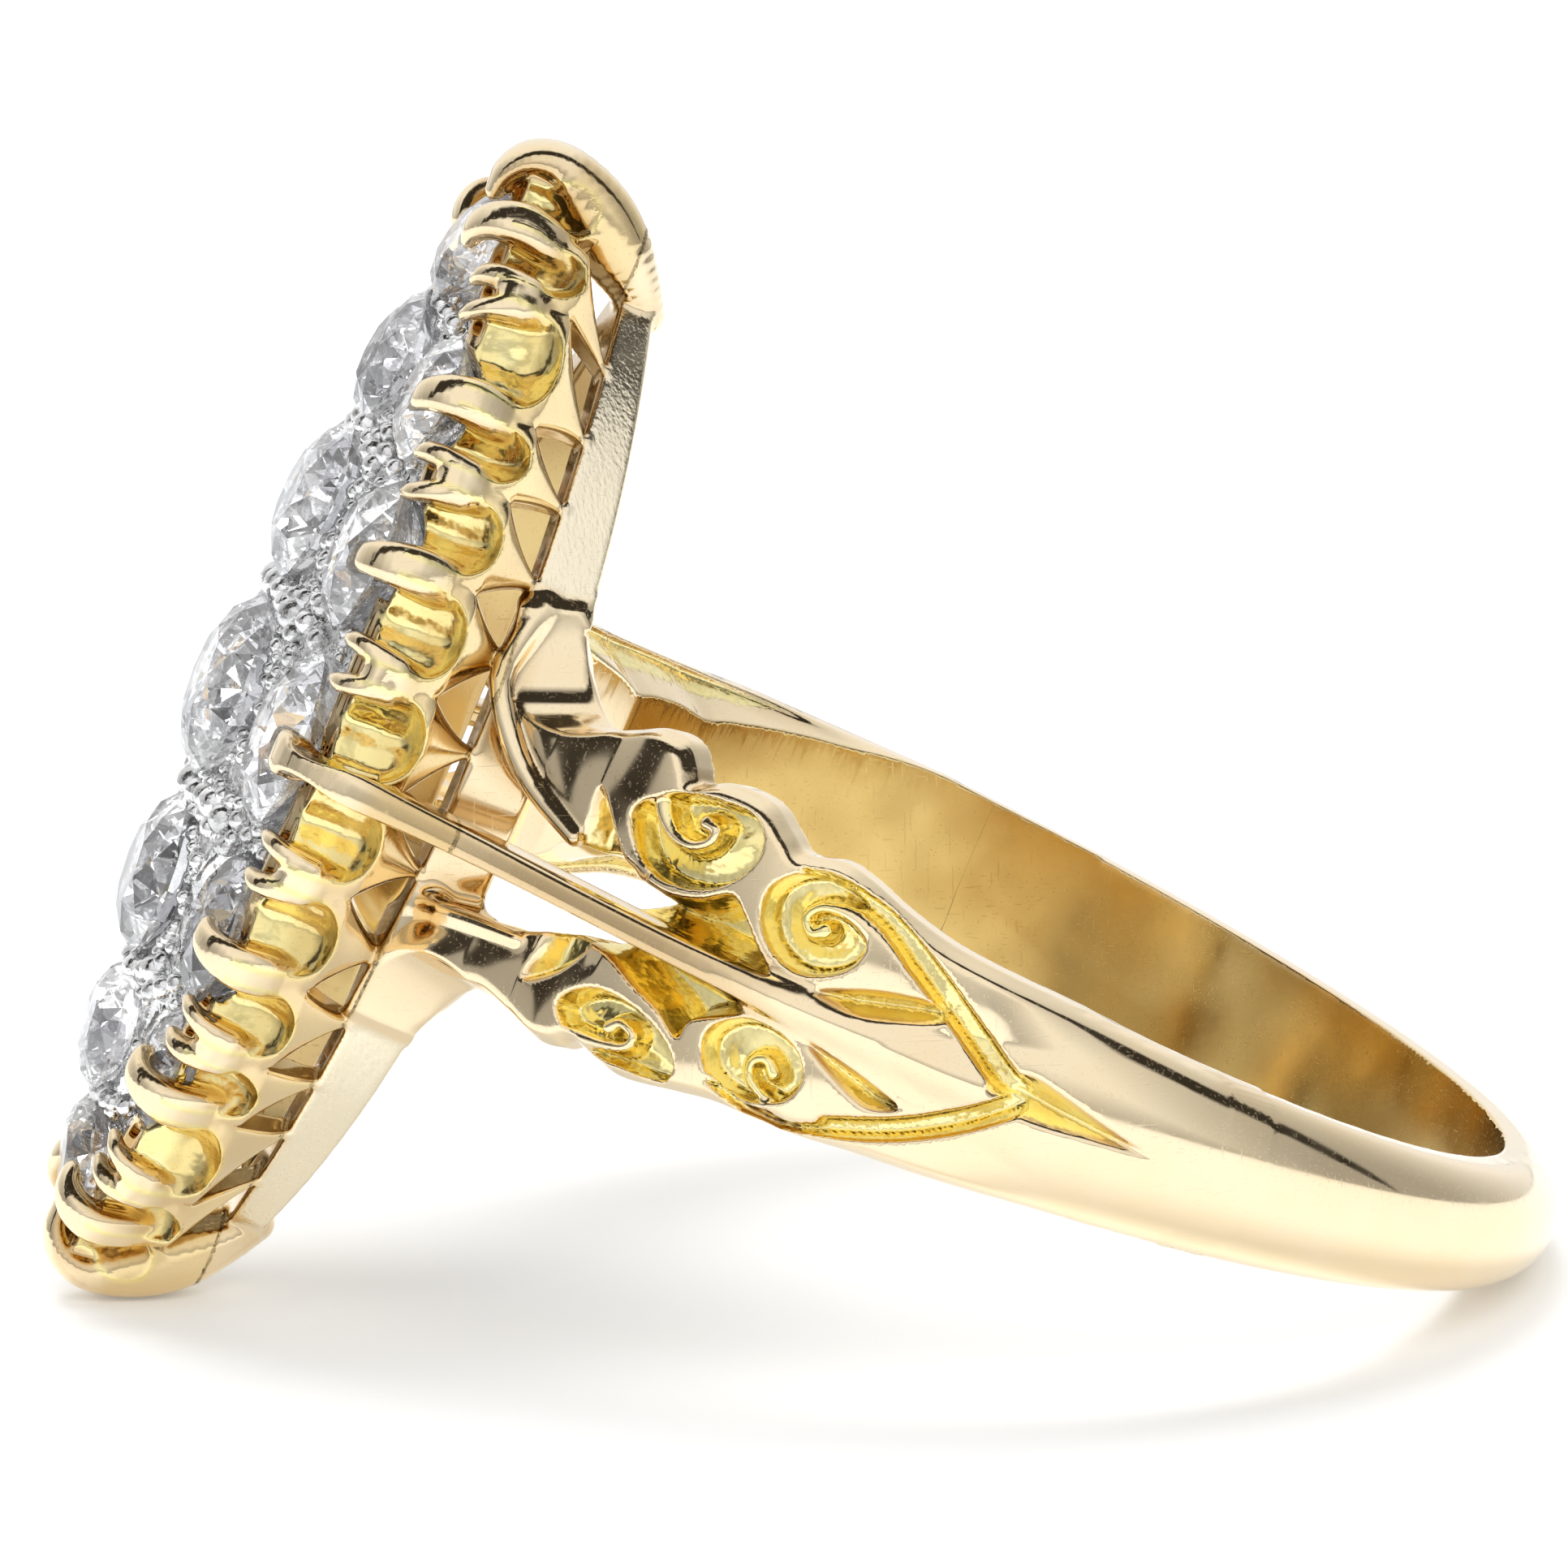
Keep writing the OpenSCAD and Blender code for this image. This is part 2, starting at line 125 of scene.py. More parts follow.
def soft_max(a, b, blend):
    """The larger of two distances, with a rounded edge where they are close."""
    return -soft_min(-a, -b, blend)


def ease(x):
    """0 to 1 smoothly while x goes from 0 to 1."""
    x = np.clip(x, 0, 1)
    return x * x * (3 - 2 * x)


class Casting:
    """A block of sample points that metal is added to and cut from."""

    def __init__(self, low, high, cell):
        self.low = np.array(low, float)
        self.cell = cell
        self.count = [int(math.ceil((high[i] - low[i]) / cell)) + 1 for i in range(3)]
        self.value = np.full(self.count, OPEN_AIR, np.float32)

    @classmethod
    def holding(cls, value, low, cell):
        """A casting made of samples that exist already."""
        casting = cls.__new__(cls)
        casting.value = value
        casting.low = low
        casting.cell = cell
        casting.count = list(value.shape)
        return casting

    def window(self, low, high):
        """The samples between two corners: their slices, and their places along each axis."""
        cut = []
        axes = []
        for i in range(3):
            first = max(0, int(math.floor((low[i] - self.low[i]) / self.cell)))
            last = min(self.count[i], int(math.ceil((high[i] - self.low[i]) / self.cell)) + 1)
            last = max(first, last)
            cut.append(slice(first, last))
            place = self.low[i] + self.cell * np.arange(first, last)
            shape = [1, 1, 1]
            shape[i] = len(place)
            axes.append(place.astype(np.float32).reshape(shape))
        return tuple(cut), axes

    def add(self, low, high, form, blend):
        """Adds a form between two corners, with a fillet as wide as blend."""
        cut, axes = self.window(low, high)
        if self.value[cut].size:
            self.value[cut] = soft_min(self.value[cut], form(*axes).astype(np.float32), blend)

    def carve(self, low, high, form, blend):
        """Cuts a form away between two corners, with edges rounded by blend."""
        cut, axes = self.window(low, high)
        if self.value[cut].size:
            self.value[cut] = soft_max(self.value[cut], -form(*axes).astype(np.float32), blend)

    def mirrored(self):
        """The same casting with its far side, mirrored in t = 0, where its samples start."""
        low = self.low.copy()
        low[1] = -self.cell * (self.count[1] - 1)
        both = np.concatenate([self.value[:, :0:-1], self.value], axis=1)
        return Casting.holding(both, low, self.cell)

    def section(self, low, high):
        """A block of the casting, closed where it is cut."""
        cut, _ = self.window(low, high)
        value = self.value[cut].copy()
        for axis in range(3):
            for end in (0, -1):
                face = [slice(None)] * 3
                face[axis] = end
                value[tuple(face)] = np.maximum(value[tuple(face)], self.cell * 0.5)
        return Casting.holding(value, self.low + self.cell * np.array([c.start for c in cut]), self.cell)

    def sample(self, points):
        """Distance at points, by straight interpolation between samples."""
        place = (points - self.low) / self.cell
        base = np.floor(place).astype(int)
        base = np.clip(base, 0, np.array(self.count) - 2)
        part = place - base
        x, y, z = part[:, 0], part[:, 1], part[:, 2]
        total = np.zeros(len(points))
        for i in (0, 1):
            for j in (0, 1):
                for k in (0, 1):
                    weight = (x if i else 1 - x) * (y if j else 1 - y) * (z if k else 1 - z)
                    total += weight * self.value[base[:, 0] + i, base[:, 1] + j, base[:, 2] + k]
        return total

    def slope(self, points, reach=0.75):
        """Gradient by central differences over a share of a cell, which smooths the cell edges out."""
        step = self.cell * reach
        out = np.zeros_like(points)
        for i in range(3):
            move = np.zeros(3)
            move[i] = step
            out[:, i] = (self.sample(points + move) - self.sample(points - move)) / (2 * step)
        return out


def skin(casting):
    """A closed mesh on the zero level of a casting: one point a crossed cell, one quad a crossed edge."""
    value = casting.value
    inside = value < 0
    count = np.zeros(tuple(n - 1 for n in value.shape), np.uint8)
    for i in (0, 1):
        for j in (0, 1):
            for k in (0, 1):
                count += inside[i:value.shape[0] - 1 + i, j:value.shape[1] - 1 + j,
                                k:value.shape[2] - 1 + k]
    # A crossed cell gets one point, in the middle of the places where the surface crosses its edges.
    crossed = (count > 0) & (count < 8)
    cells = np.argwhere(crossed)
    number = np.full(crossed.shape, -1, np.int32)
    number[crossed] = np.arange(len(cells))
    total = np.zeros((len(cells), 3))
    hits = np.zeros(len(cells))
    corners = [(i, j, k) for i in (0, 1) for j in (0, 1) for k in (0, 1)]
    for a in corners:
        for axis in range(3):
            if a[axis]:
                continue
            b = list(a)
            b[axis] = 1
            va = value[cells[:, 0] + a[0], cells[:, 1] + a[1], cells[:, 2] + a[2]]
            vb = value[cells[:, 0] + b[0], cells[:, 1] + b[1], cells[:, 2] + b[2]]
            cross = (va < 0) != (vb < 0)
            share = np.where(cross, va / np.where(cross, va - vb, 1), 0)
            point = np.tile(np.array(a, float), (len(cells), 1))
            point[:, axis] += share
            total[cross] += point[cross]
            hits[cross] += 1
    points = casting.low + (cells + total / hits[:, None]) * casting.cell
    # A crossed edge gets one quad through the four cells round it, facing out of the metal.
    quads = []
    for axis in range(3):
        p, q = [(1, 2), (2, 0), (0, 1)][axis]
        here = [slice(1, -1)] * 3
        here[axis] = slice(0, -1)
        there = list(here)
        there[axis] = slice(1, None)
        va = inside[tuple(here)]
        vb = inside[tuple(there)]
        edges = np.argwhere(va != vb)
        outward = va[va != vb]
        start = edges.copy()
        start[:, p] += 1
        start[:, q] += 1
        ring = []
        for dp, dq in ((0, 0), (-1, 0), (-1, -1), (0, -1)):
            cell = start.copy()
            cell[:, p] += dp
            cell[:, q] += dq
            ring.append(number[cell[:, 0], cell[:, 1], cell[:, 2]])
        ring = np.stack(ring, axis=1)
        ring[~outward] = ring[~outward][:, ::-1]
        quads.append(ring)
    return points, np.concatenate(quads)


def settle(casting, points, steps=2, least_slope2=0.04):
    """Moves points onto the metal's surface, by at most half a cell a step."""
    limit = casting.cell * 0.5
    for _ in range(steps):
        distance = casting.sample(points)
        slope = casting.slope(points)
        length2 = np.maximum((slope * slope).sum(1), least_slope2)
        move = -slope * (distance / length2)[:, None]
        size = np.linalg.norm(move, axis=1)
        points = points + move * (np.minimum(size, limit) / np.maximum(size, 1e-9))[:, None]
    return points


# Meshes and objects.

def place_object(name, data):
    """A new object in the scene."""
    placed = bpy.data.objects.new(name, data)
    bpy.context.scene.collection.objects.link(placed)
    return placed


def finished_mesh(piece):
    """The plain mesh that an object's modifiers make."""
    bpy.context.view_layer.update()
    return bpy.data.meshes.new_from_object(piece.evaluated_get(bpy.context.evaluated_depsgraph_get()))


def mesh_points(mesh):
    """The mesh's points in the ring's frame."""
    places = np.empty(len(mesh.vertices) * 3)
    mesh.vertices.foreach_get("co", places)
    return stand_up(places.reshape(-1, 3))


def set_normals(mesh, whole):
    """Smooth normals from the casting's slope, and exactly radial ones in the finger hole."""
    points = mesh_points(mesh)
    facing = unit(whole.slope(points))
    radius = np.maximum(np.linalg.norm(points[:, :2], axis=1), 1e-6)
    inward = -(facing[:, :2] * points[:, :2]).sum(1) / radius
    hole = (np.abs(radius - FINGER_R) < CELL) & (inward > 0.85)
    facing[hole, :2] = -points[hole, :2] / radius[hole, None]
    facing[hole, 2] = 0
    mesh.polygons.foreach_set("use_smooth", [True] * len(mesh.polygons))
    mesh.normals_split_custom_set_from_vertices(turn_down(facing).tolist())
    mesh.update()


def metal_piece(name, block, whole, most_faces):
    """A finished mesh object from a block of a casting, thinned where it is smooth."""
    points, quads = skin(block)
    points = settle(block, points)
    # Points close to the finger hole's wall go exactly on it.
    radius = np.linalg.norm(points[:, :2], axis=1)
    hole = np.abs(radius - FINGER_R) < CELL * 0.35
    points[hole, :2] *= (FINGER_R / radius[hole])[:, None]
    mesh = bpy.data.meshes.new(name)
    mesh.from_pydata(lie_down(points).tolist(), [], quads.tolist())
    piece = place_object(name, mesh)
    triangles = 2 * len(quads)
    if triangles > most_faces:
        thin = piece.modifiers.new("thin", "DECIMATE")
        thin.ratio = most_faces / triangles
        piece.data = finished_mesh(piece)
        piece.modifiers.clear()
        bpy.data.meshes.remove(mesh)
        piece.data.name = name
    set_normals(piece.data, whole)
    return piece


def set_field(mesh, name, values):
    """Writes one number a point, which the material reads as an attribute."""
    field = mesh.attributes.new(name, "FLOAT", "POINT")
    field.data.foreach_set("value", np.asarray(values, np.float32))


# Node trees.

class Nodes:
    """Short ways to place and join the nodes of a tree."""

    def __init__(self, tree):
        self.tree = tree

    def socket(self, name, kind, direction="INPUT"):
        """A new socket of the tree as a whole; its identifier."""
        return self.tree.interface.new_socket(
            name, in_out=direction, socket_type="NodeSocket" + kind).identifier

    def fill(self, node, inputs):
        """Joins a node's inputs to other nodes' outputs, or gives them plain values."""
        for name, value in inputs.items():
            if isinstance(value, bpy.types.NodeSocket):
                self.tree.links.new(value, node.inputs[name])
            else:
                node.inputs[name].default_value = value

    def node(self, kind, inputs=None, **settings):
        """A new node with its settings and inputs."""
        node = self.tree.nodes.new(kind)
        for name, value in settings.items():
            setattr(node, name, value)
        self.fill(node, inputs or {})
        return node

    def math(self, operation, a, b=0.0):
        """The result of a sum on two numbers, or on the first alone."""
        return self.node("ShaderNodeMath", {0: a, 1: b}, operation=operation).outputs[0]

    def span(self, value, low, high, to_low, to_high):
        """A value whose range from low to high is moved to another one, and held there."""
        return self.node("ShaderNodeMapRange", {
            "Value": value, "From Min": low, "From Max": high, "To Min": to_low,
            "To Max": to_high}).outputs["Result"]

    def noise(self, vector, scale, detail):
        """A soft noise from 0 to 1, with so many blotches to the metre."""
        return self.node("ShaderNodeTexNoise", {
            "Vector": vector, "Scale": scale, "Detail": detail}).outputs["Fac"]

    def place(self):
        """The place on the ring, in its own frame."""
        return self.node("ShaderNodeTexCoord").outputs["Object"]

    def field(self, name):
        """A number that set_field() wrote on the mesh."""
        return self.node("ShaderNodeAttribute", attribute_name=name).outputs["Fac"]

    def mix(self, share, a, b):
        """Colour a where the share is 0 and b where it is 1."""
        return self.node("ShaderNodeMix", {"Factor": share, 6: a, 7: b}, data_type="RGBA").outputs[2]

    def stretched(self, vector, turn, stretch):
        """A place turned and then stretched, for patterns that run one way."""
        return self.node("ShaderNodeMapping", {
            "Vector": vector, "Rotation": turn, "Scale": stretch}).outputs["Vector"]

    def bump(self, height, strength, distance):
        """A normal bent by heights, with the distance in mm."""
        return self.node("ShaderNodeBump", {
            "Height": height, "Strength": strength, "Distance": distance * MM}).outputs["Normal"]


# Lines and outlines that the forms are drawn with.

def smooth_line(points, steps=6, closed=False):
    """A Catmull-Rom line through rows of numbers."""
    rows = np.array(points, float)
    if closed:
        rows = np.vstack([rows[-1], rows, rows[0], rows[1]])
    else:
        rows = np.vstack([2 * rows[0] - rows[1], rows, 2 * rows[-1] - rows[-2]])
    out = []
    for k in range(1, len(rows) - 2):
        a, b, c, d = rows[k - 1:k + 3]
        for i in range(steps):
            s = i / steps
            out.append(0.5 * (2 * b + (c - a) * s + (2 * a - 5 * b + 4 * c - d) * s * s
                              + (3 * b - a - 3 * c + d) * s ** 3))
    out.append(rows[-2])
    return np.array(out)


def nearest_on_step(x, y, a, b):
    """The share of the way from a to b that is nearest to places (x, y), and the distance from there."""
    dx, dy = b[0] - a[0], b[1] - a[1]
    length2 = max(dx * dx + dy * dy, 1e-9)
    s = np.clip(((x - a[0]) * dx + (y - a[1]) * dy) / length2, 0, 1)
    return s, np.hypot(x - a[0] - s * dx, y - a[1] - s * dy)


def nearest_on_line(x, y, line):
    """Distance to a line of rows (x, y, more...), and the more-columns at the nearest place."""
    best = np.full(np.broadcast(x, y).shape, 1e9)
    more = [np.zeros_like(best) for _ in range(line.shape[1] - 2)]
    for a, b in zip(line[:-1], line[1:]):
        s, distance = nearest_on_step(x, y, a, b)
        closer = distance < best
        best = np.where(closer, distance, best)
        for i in range(len(more)):
            more[i] = np.where(closer, a[2 + i] + s * (b[2 + i] - a[2 + i]), more[i])
    return best, more


def inside_outline(x, y, line):
    """Distance inside a closed outline, negative outside it."""
    distance, _ = nearest_on_line(x, y, line)
    inside = np.zeros(distance.shape, bool)
    for a, b in zip(line[:-1], line[1:]):
        crosses = (a[1] > y) != (b[1] > y)
        place = a[0] + (y - a[1]) * (b[0] - a[0]) / (b[1] - a[1] if b[1] != a[1] else 1e-9)
        inside ^= crosses & (x < place)
    return np.where(inside, distance, -distance)


def arc_radius(hl, hw):
    """Radius of the two arcs of a navette with a half length and a half width."""
    return (hl * hl + hw * hw) / (2 * hw)


def navette_place(t, u, hl, hw):
    """Distance outside a navette, and the length along its side from the middle."""
    r = arc_radius(hl, hw)
    across = np.abs(t) + r - hw
    return np.hypot(across, u) - r, r * np.arctan2(u, across)


def crown_place(t, u):
    """Distance outside the crown, and the length along its side from the middle."""
    return navette_place(t, u, CROWN_HL, CROWN_HW)


def along_crown(places):
    """Lengths along the crown's side from its middle to places u."""
    r = arc_radius(CROWN_HL, CROWN_HW)
    return [r * math.asin(u / r) for u in places]


def crown_point(s):
    """The place (t, u) at a length s along the crown's side."""
    r = arc_radius(CROWN_HL, CROWN_HW)
    return r * math.cos(s / r) - r + CROWN_HW, r * math.sin(s / r)


# Shoulders: their outline and relief on a map of angle from the head and place along the finger. ARC is the
# length of a degree on their faces.
MAP_FROM = 12.0
MAP_TO = 112.0
MAP_STEP = 0.2
MAP_HALF_W = 4.8
MAP_CELL = 0.03
ARC = 10.3 * math.pi / 180

# Angles where the pierced gap ends, where the branches merge into the wedge, where the band goes on alone,
# and where the ornament starts and ends.
GAP_END = 54
WEDGE_FROM = 58
WEDGE_RUN = 20
BAND_ALONE_FROM = 76
BAND_ALONE_RUN = 16
ORNAMENT_FROM = 34
ORNAMENT_TO = 98

# The radius over which the ornament lies, and the height where the shoulders stop under the head.
CARVED_OVER_R = 9.2
SHOULDER_TOP = 10.42

# Outer and inner edges of the near shoulder's two branches. Columns: angle from the head, distance from
# the shoulder's middle line.
UPPER_OUTER = [
    (12, 3.9), (20, 3.8), (23, 3.5), (26, 3.12), (29, 2.80), (32, 2.62), (35, 2.66), (38.5, 2.94),
    (41.3, 2.92), (43.2, 2.64), (44.4, 2.44), (47.4, 2.68), (51.5, 2.70), (54.5, 2.42), (56.6, 2.22),
    (60, 2.36), (63, 2.28), (67, 2.06), (72, 1.86), (78, 1.76), (86, 1.66), (96, 1.52), (112, 1.36),
]
UPPER_INNER = [
    (12, 4.2), (19, 3.5), (21, 3.05), (22.6, 2.35), (25, 1.78), (27, 1.42), (31, 0.98), (34, 0.78),
    (36.6, 0.66), (38.4, 0.74), (41, 0.80), (43, 0.72), (44.4, 0.45), (45.2, -0.1), (54, -0.5),
]
LOWER_OUTER = [
    (12, 4.3), (20, 4.0), (25, 3.1), (29, 2.52), (32, 2.26), (36, 2.36), (39, 2.46), (41.4, 2.38),
    (43, 2.18), (46, 2.26), (49, 2.30), (54.6, 2.08), (58.3, 1.96), (65, 1.92), (71.4, 1.80), (78, 1.72),
    (86, 1.64), (96, 1.52), (112, 1.36),
]
LOWER_INNER = [
    (12, 2.3), (19, 1.85), (21, 1.62), (23, 1.46), (26, 1.28), (30, 1.14), (33, 1.06), (36, 0.84),
    (38, 0.66), (40, 0.62), (42, 0.50), (43.2, 0.20), (44, -0.1), (54, -0.5),
]

# The branches' outer and inner faces. Columns: angle, radius.
FACE_R = [
    (12, 11.2), (19, 11.15), (22, 11.08), (26, 10.94), (30, 10.76), (36, 10.58), (46, 10.54), (56, 10.46),
    (62, 10.36), (70, 10.14), (80, 9.94), (90, 9.80), (112, 9.6),
]
INNER_R = [(0, 9.6), (26, 9.6), (31, 9.75), (36, 9.35), (40, 8.95), (45, FINGER_R - 0.02)]

# How far the sides lean in under the faces, as a share of the depth. Columns: angle, share.
UNDERCUT = [(0, 0.7), (34, 0.7), (40, 0.6), (58, 0.6), (72, 0.3), (95, 0.0)]

# A rounded ridge that runs on from the spine and widens along the middle of the wedge. Columns: angle,
# half width, and angle, height.
RIDGE_HALF_W = [(50, 0.26), (58, 0.36), (66, 0.50), (74, 0.62), (82, 0.50)]
RIDGE_H = [(48, 0.0), (53, 0.24), (60, 0.30), (70, 0.27), (80, 0.14), (86, 0.0)]

# Outlines of the scrolls' hollows. Columns: angle, place above the middle line.
SCROLL_HOLLOWS = [
    [(40.4, 1.60), (42.3, 1.08), (45.7, 0.88), (49.6, 1.02), (52.2, 1.38), (53.4, 1.84), (53.0, 2.20),
     (51.2, 2.42), (47.5, 2.36), (43.6, 2.14)],
    [(55.6, 1.42), (56.3, 0.97), (58.3, 0.64), (60.9, 0.54), (63.3, 0.70), (65.0, 1.0), (65.3, 1.4),
     (64.3, 1.78), (61.4, 1.99), (58.4, 2.00), (56.4, 1.74)],
    [(41.0, -1.70), (43.8, -1.22), (47.9, -1.16), (51.6, -1.34), (53.8, -1.68), (53.2, -2.0), (49.3, -2.10),
     (44.4, -2.10)],
    [(55.6, -1.0), (57.4, -0.58), (60.4, -0.46), (63.4, -0.62), (64.8, -1.0), (64.0, -1.42),
     (60.8, -1.68), (57.0, -1.52)],
]
HOLLOW_DEPTH = [0.60, 0.58, 0.52, 0.52]

# Raised curls in the hollows. Columns: angle, place, half width. Each starts on its hollow's rim.
SCROLL_CURLS = [
    [(40.8, 2.44, 0.26), (41.7, 2.10, 0.22), (42.7, 1.78, 0.18), (44.7, 1.55, 0.15), (46.7, 1.53, 0.13),
     (48.3, 1.70, 0.12), (48.6, 1.93, 0.12), (47.3, 1.96, 0.16)],
    [(67.8, 1.20, 0.26), (66.0, 1.46, 0.20), (64.0, 1.64, 0.16), (61.9, 1.67, 0.135), (60.1, 1.57, 0.12),
     (59.3, 1.34, 0.12), (60.2, 1.15, 0.13), (61.3, 1.27, 0.17)],
    [(41.0, -2.16, 0.20), (43.4, -2.04, 0.15), (46.4, -1.94, 0.12), (48.7, -1.80, 0.11),
     (49.0, -1.58, 0.11), (47.4, -1.50, 0.12), (46.4, -1.66, 0.15)],
    [(66.6, -1.40, 0.22), (64.6, -1.58, 0.16), (62.2, -1.52, 0.12), (60.3, -1.34, 0.11),
     (60.0, -1.08, 0.11), (61.2, -0.96, 0.12), (62.2, -1.12, 0.15)],
]
CURL_TOP_R = [10.48, 10.26, 10.46, 10.24]

# Channels from the second scrolls to the leaf tip on the band. Columns: angle, place, half width.
CHANNEL_DEPTH = 0.44
CHANNELS = [
    [(57.6, 2.00, 0.06), (60.6, 2.06, 0.12), (64.2, 1.92, 0.18), (68.0, 1.66, 0.21), (71.6, 1.32, 0.22),
     (75.0, 0.97, 0.22), (78.4, 0.61, 0.22), (81.4, 0.30, 0.22), (83.6, 0.18, 0.20)],
    [(57.2, -1.62, 0.05), (60.6, -1.80, 0.10), (64.6, -1.74, 0.15), (69.8, -1.44, 0.18),
     (74.6, -1.08, 0.19), (79.0, -0.62, 0.20), (82.2, -0.16, 0.20), (83.6, 0.04, 0.18)],
]
LEAF_TIP = [(81.0, 0.16, 0.20), (83.4, 0.16, 0.36), (86.5, 0.12, 0.31), (90.0, 0.08, 0.20),
            (93.5, 0.04, 0.10), (96.6, 0.0, 0.01)]

# How steep the V-bottomed cuts are, and how deep they go at most: the leaf tip, the leaves, the recesses.
TIP_CUT = 1.5, 0.5
LEAF_CUT = 2.2, 0.46
DEEP_CUT = 4.5, 1.1

# Outlines of the leaf cuts. Columns: angle, place.
LEAF_CUTS = [
    [(62.6, 0.34), (65.5, 0.62), (68.9, 0.84), (73.6, 0.98), (74.4, 0.72), (70.5, 0.45), (66.4, 0.28)],
    [(63.7, -0.40), (67.4, -0.48), (71.0, -0.62), (73.8, -0.80), (71.0, -1.0), (67.4, -0.78)],
    [(36.2, 1.66), (36.0, 1.10), (36.4, 0.52), (38.6, 0.40), (41.4, 0.50), (42.3, 0.64), (39.8, 1.06)],
    [(36.5, -1.66), (36.6, -1.10), (36.6, -0.52), (39.4, -0.44), (41.6, -0.56), (40.0, -1.22)],
]

# Outlines of the deep recesses between the branches and the spine, past the end of the pierced gap.
DEEP_CUTS = [
    [(41.0, 0.56), (44.0, 0.68), (47.0, 0.68), (50.0, 0.86), (52.7, 1.16), (54.8, 0.92), (56.7, 0.60),
     (58.6, 0.27), (54.4, 0.25), (49.1, 0.22), (44.0, 0.20), (41.0, 0.22)],
    [(40.0, -0.54), (44.0, -0.62), (47.4, -0.84), (50.4, -1.0), (53.2, -1.26), (53.8, -0.90),
     (57.8, -0.42), (54.0, -0.25), (49.0, -0.22), (44.0, -0.20), (40.0, -0.22)],
]


class Shoulder:
    """Maps of the near shoulder over angle and height: its surface's radius, its outline and its gap."""

    def __init__(self):
        self.angle = np.arange(MAP_FROM, MAP_TO, MAP_STEP)
        self.height = np.arange(-MAP_HALF_W, MAP_HALF_W, MAP_CELL)
        self.x = (self.angle * ARC)[:, None]
        self.u = self.height[None, :]
        self.shape_outline()
        self.shape_surface()
        self.flush = self.radius.copy()
        self.carve_ornament()

    def column(self, rows):
        """A smooth line through a table, read at every angle of the map."""
        return by_angle(smooth_line(rows), self.angle)[:, None]

    def shape_outline(self):
        """Where the branches' outer edges and the pierced gap between the branches run."""
        up = self.u >= 0
        self.outer = np.where(up, self.column(UPPER_OUTER), self.column(LOWER_OUTER))
        self.inner = np.where(up, self.column(UPPER_INNER), self.column(LOWER_INNER))
        far = np.abs(self.u)
        self.edge = far - self.outer
        self.gap = np.where(self.angle[:, None] < GAP_END, self.inner - far, -1.0)

    def shape_surface(self):
        """The faces of the branches, which join in the wedge and run out into the band."""
        angle = self.angle[:, None]
        half = band_half_width(angle)
        band_r = RIM_R + (BAND_R - RIM_R) * np.sqrt(np.clip(1 - (self.u / half) ** 2, 0, 1))
        middle = (self.outer + np.maximum(self.inner, 0)) / 2
        wide = (self.outer - np.maximum(self.inner, 0)) / 2
        share = (np.abs(self.u) - middle) / np.maximum(wide, 0.1)
        # Each branch is domed a little, and rounded over along its outer edge.
        dome = 0.10 * share ** 2
        rounding = 0.30 * ease(1 + self.edge / 0.26) ** 2
        ribbon = by_angle(FACE_R, angle) - dome - rounding
        ridge_side = np.abs(self.u - 0.02) / by_angle(RIDGE_HALF_W, angle)
        ridge = by_angle(RIDGE_H, angle) * ease(1 - ridge_side)
        merge = ease((angle - WEDGE_FROM) / WEDGE_RUN)
        over_band = np.maximum(band_r, ribbon - 0.05)
        self.radius = ribbon * (1 - merge) + over_band * merge + ridge
        beyond = ease((angle - BAND_ALONE_FROM) / BAND_ALONE_RUN)
        self.radius = self.radius * (1 - beyond) + band_r * beyond

    def spread(self, rows, closed, margin):
        """A smooth path through a table, and the part of the map round it."""
        path = smooth_line(rows, 6, closed)
        path[:, 0] *= ARC
        low = path.min(0) - margin
        high = path.max(0) + margin
        i = np.clip(np.searchsorted(self.x[:, 0], [low[0], high[0]]), 0, len(self.angle))
        j = np.clip(np.searchsorted(self.height, [low[1], high[1]]), 0, len(self.height))
        return path, (slice(*i), slice(*j))

    def within(self, rows):
        """The part of the map round a closed outline, and the distance inside it."""
        path, part = self.spread(rows, True, 0.2)
        return part, inside_outline(self.x[part[0]], self.u[:, part[1]], path)

    def beside(self, rows):
        """The part of the map round a line, the distance from it, and its half width there."""
        path, part = self.spread(rows, False, 0.5)
        distance, (half,) = nearest_on_line(self.x[part[0]], self.u[:, part[1]], path)
        return part, distance, half

    def hollow(self, rows, depth, wall=0.09):
        """A hollow with steep walls and a floor that sinks toward its edge."""
        part, inside = self.within(rows)
        self.radius[part] -= depth * ease((inside + 0.02) / wall) * (1 - 0.16 * ease((inside - 0.2) / 0.4))

    def notch(self, rows, slope, most):
        """A cut whose walls meet in a V along its middle."""
        part, inside = self.within(rows)
        self.radius[part] -= np.clip(inside * slope, 0, most)

    def sink(self, part, depth):
        """Lowers part of the map to a depth under the polished face."""
        self.radius[part] = np.minimum(self.radius[part], self.flush[part] - depth)

    def channel(self, rows, depth, wall=0.08):
        """A flat-bottomed cut along a line."""
        part, distance, half = self.beside(rows)
        self.sink(part, depth * ease((half - distance) / wall))

    def crease(self, rows, slope, most):
        """A V-bottomed cut along a line."""
        part, distance, half = self.beside(rows)
        self.sink(part, np.clip((half - distance) * slope, 0, most))

    def raise_curl(self, rows, top):
        """A rounded wire on a hollow's floor that ends in a bead."""
        part, distance, half = self.beside(rows)
        share = np.clip(distance / np.maximum(half, 0.02), 0, 1.6)
        # The wire's back is round, and its sides drop steeply to the hollow's floor.
        wire = top - 0.02 - 0.14 * share ** 2 - 0.6 * ease((share - 0.90) / 0.5)
        raised = np.maximum(self.radius[part], np.minimum(wire, self.flush[part]))
        self.radius[part] = np.where(share < 1.5, raised, self.radius[part])

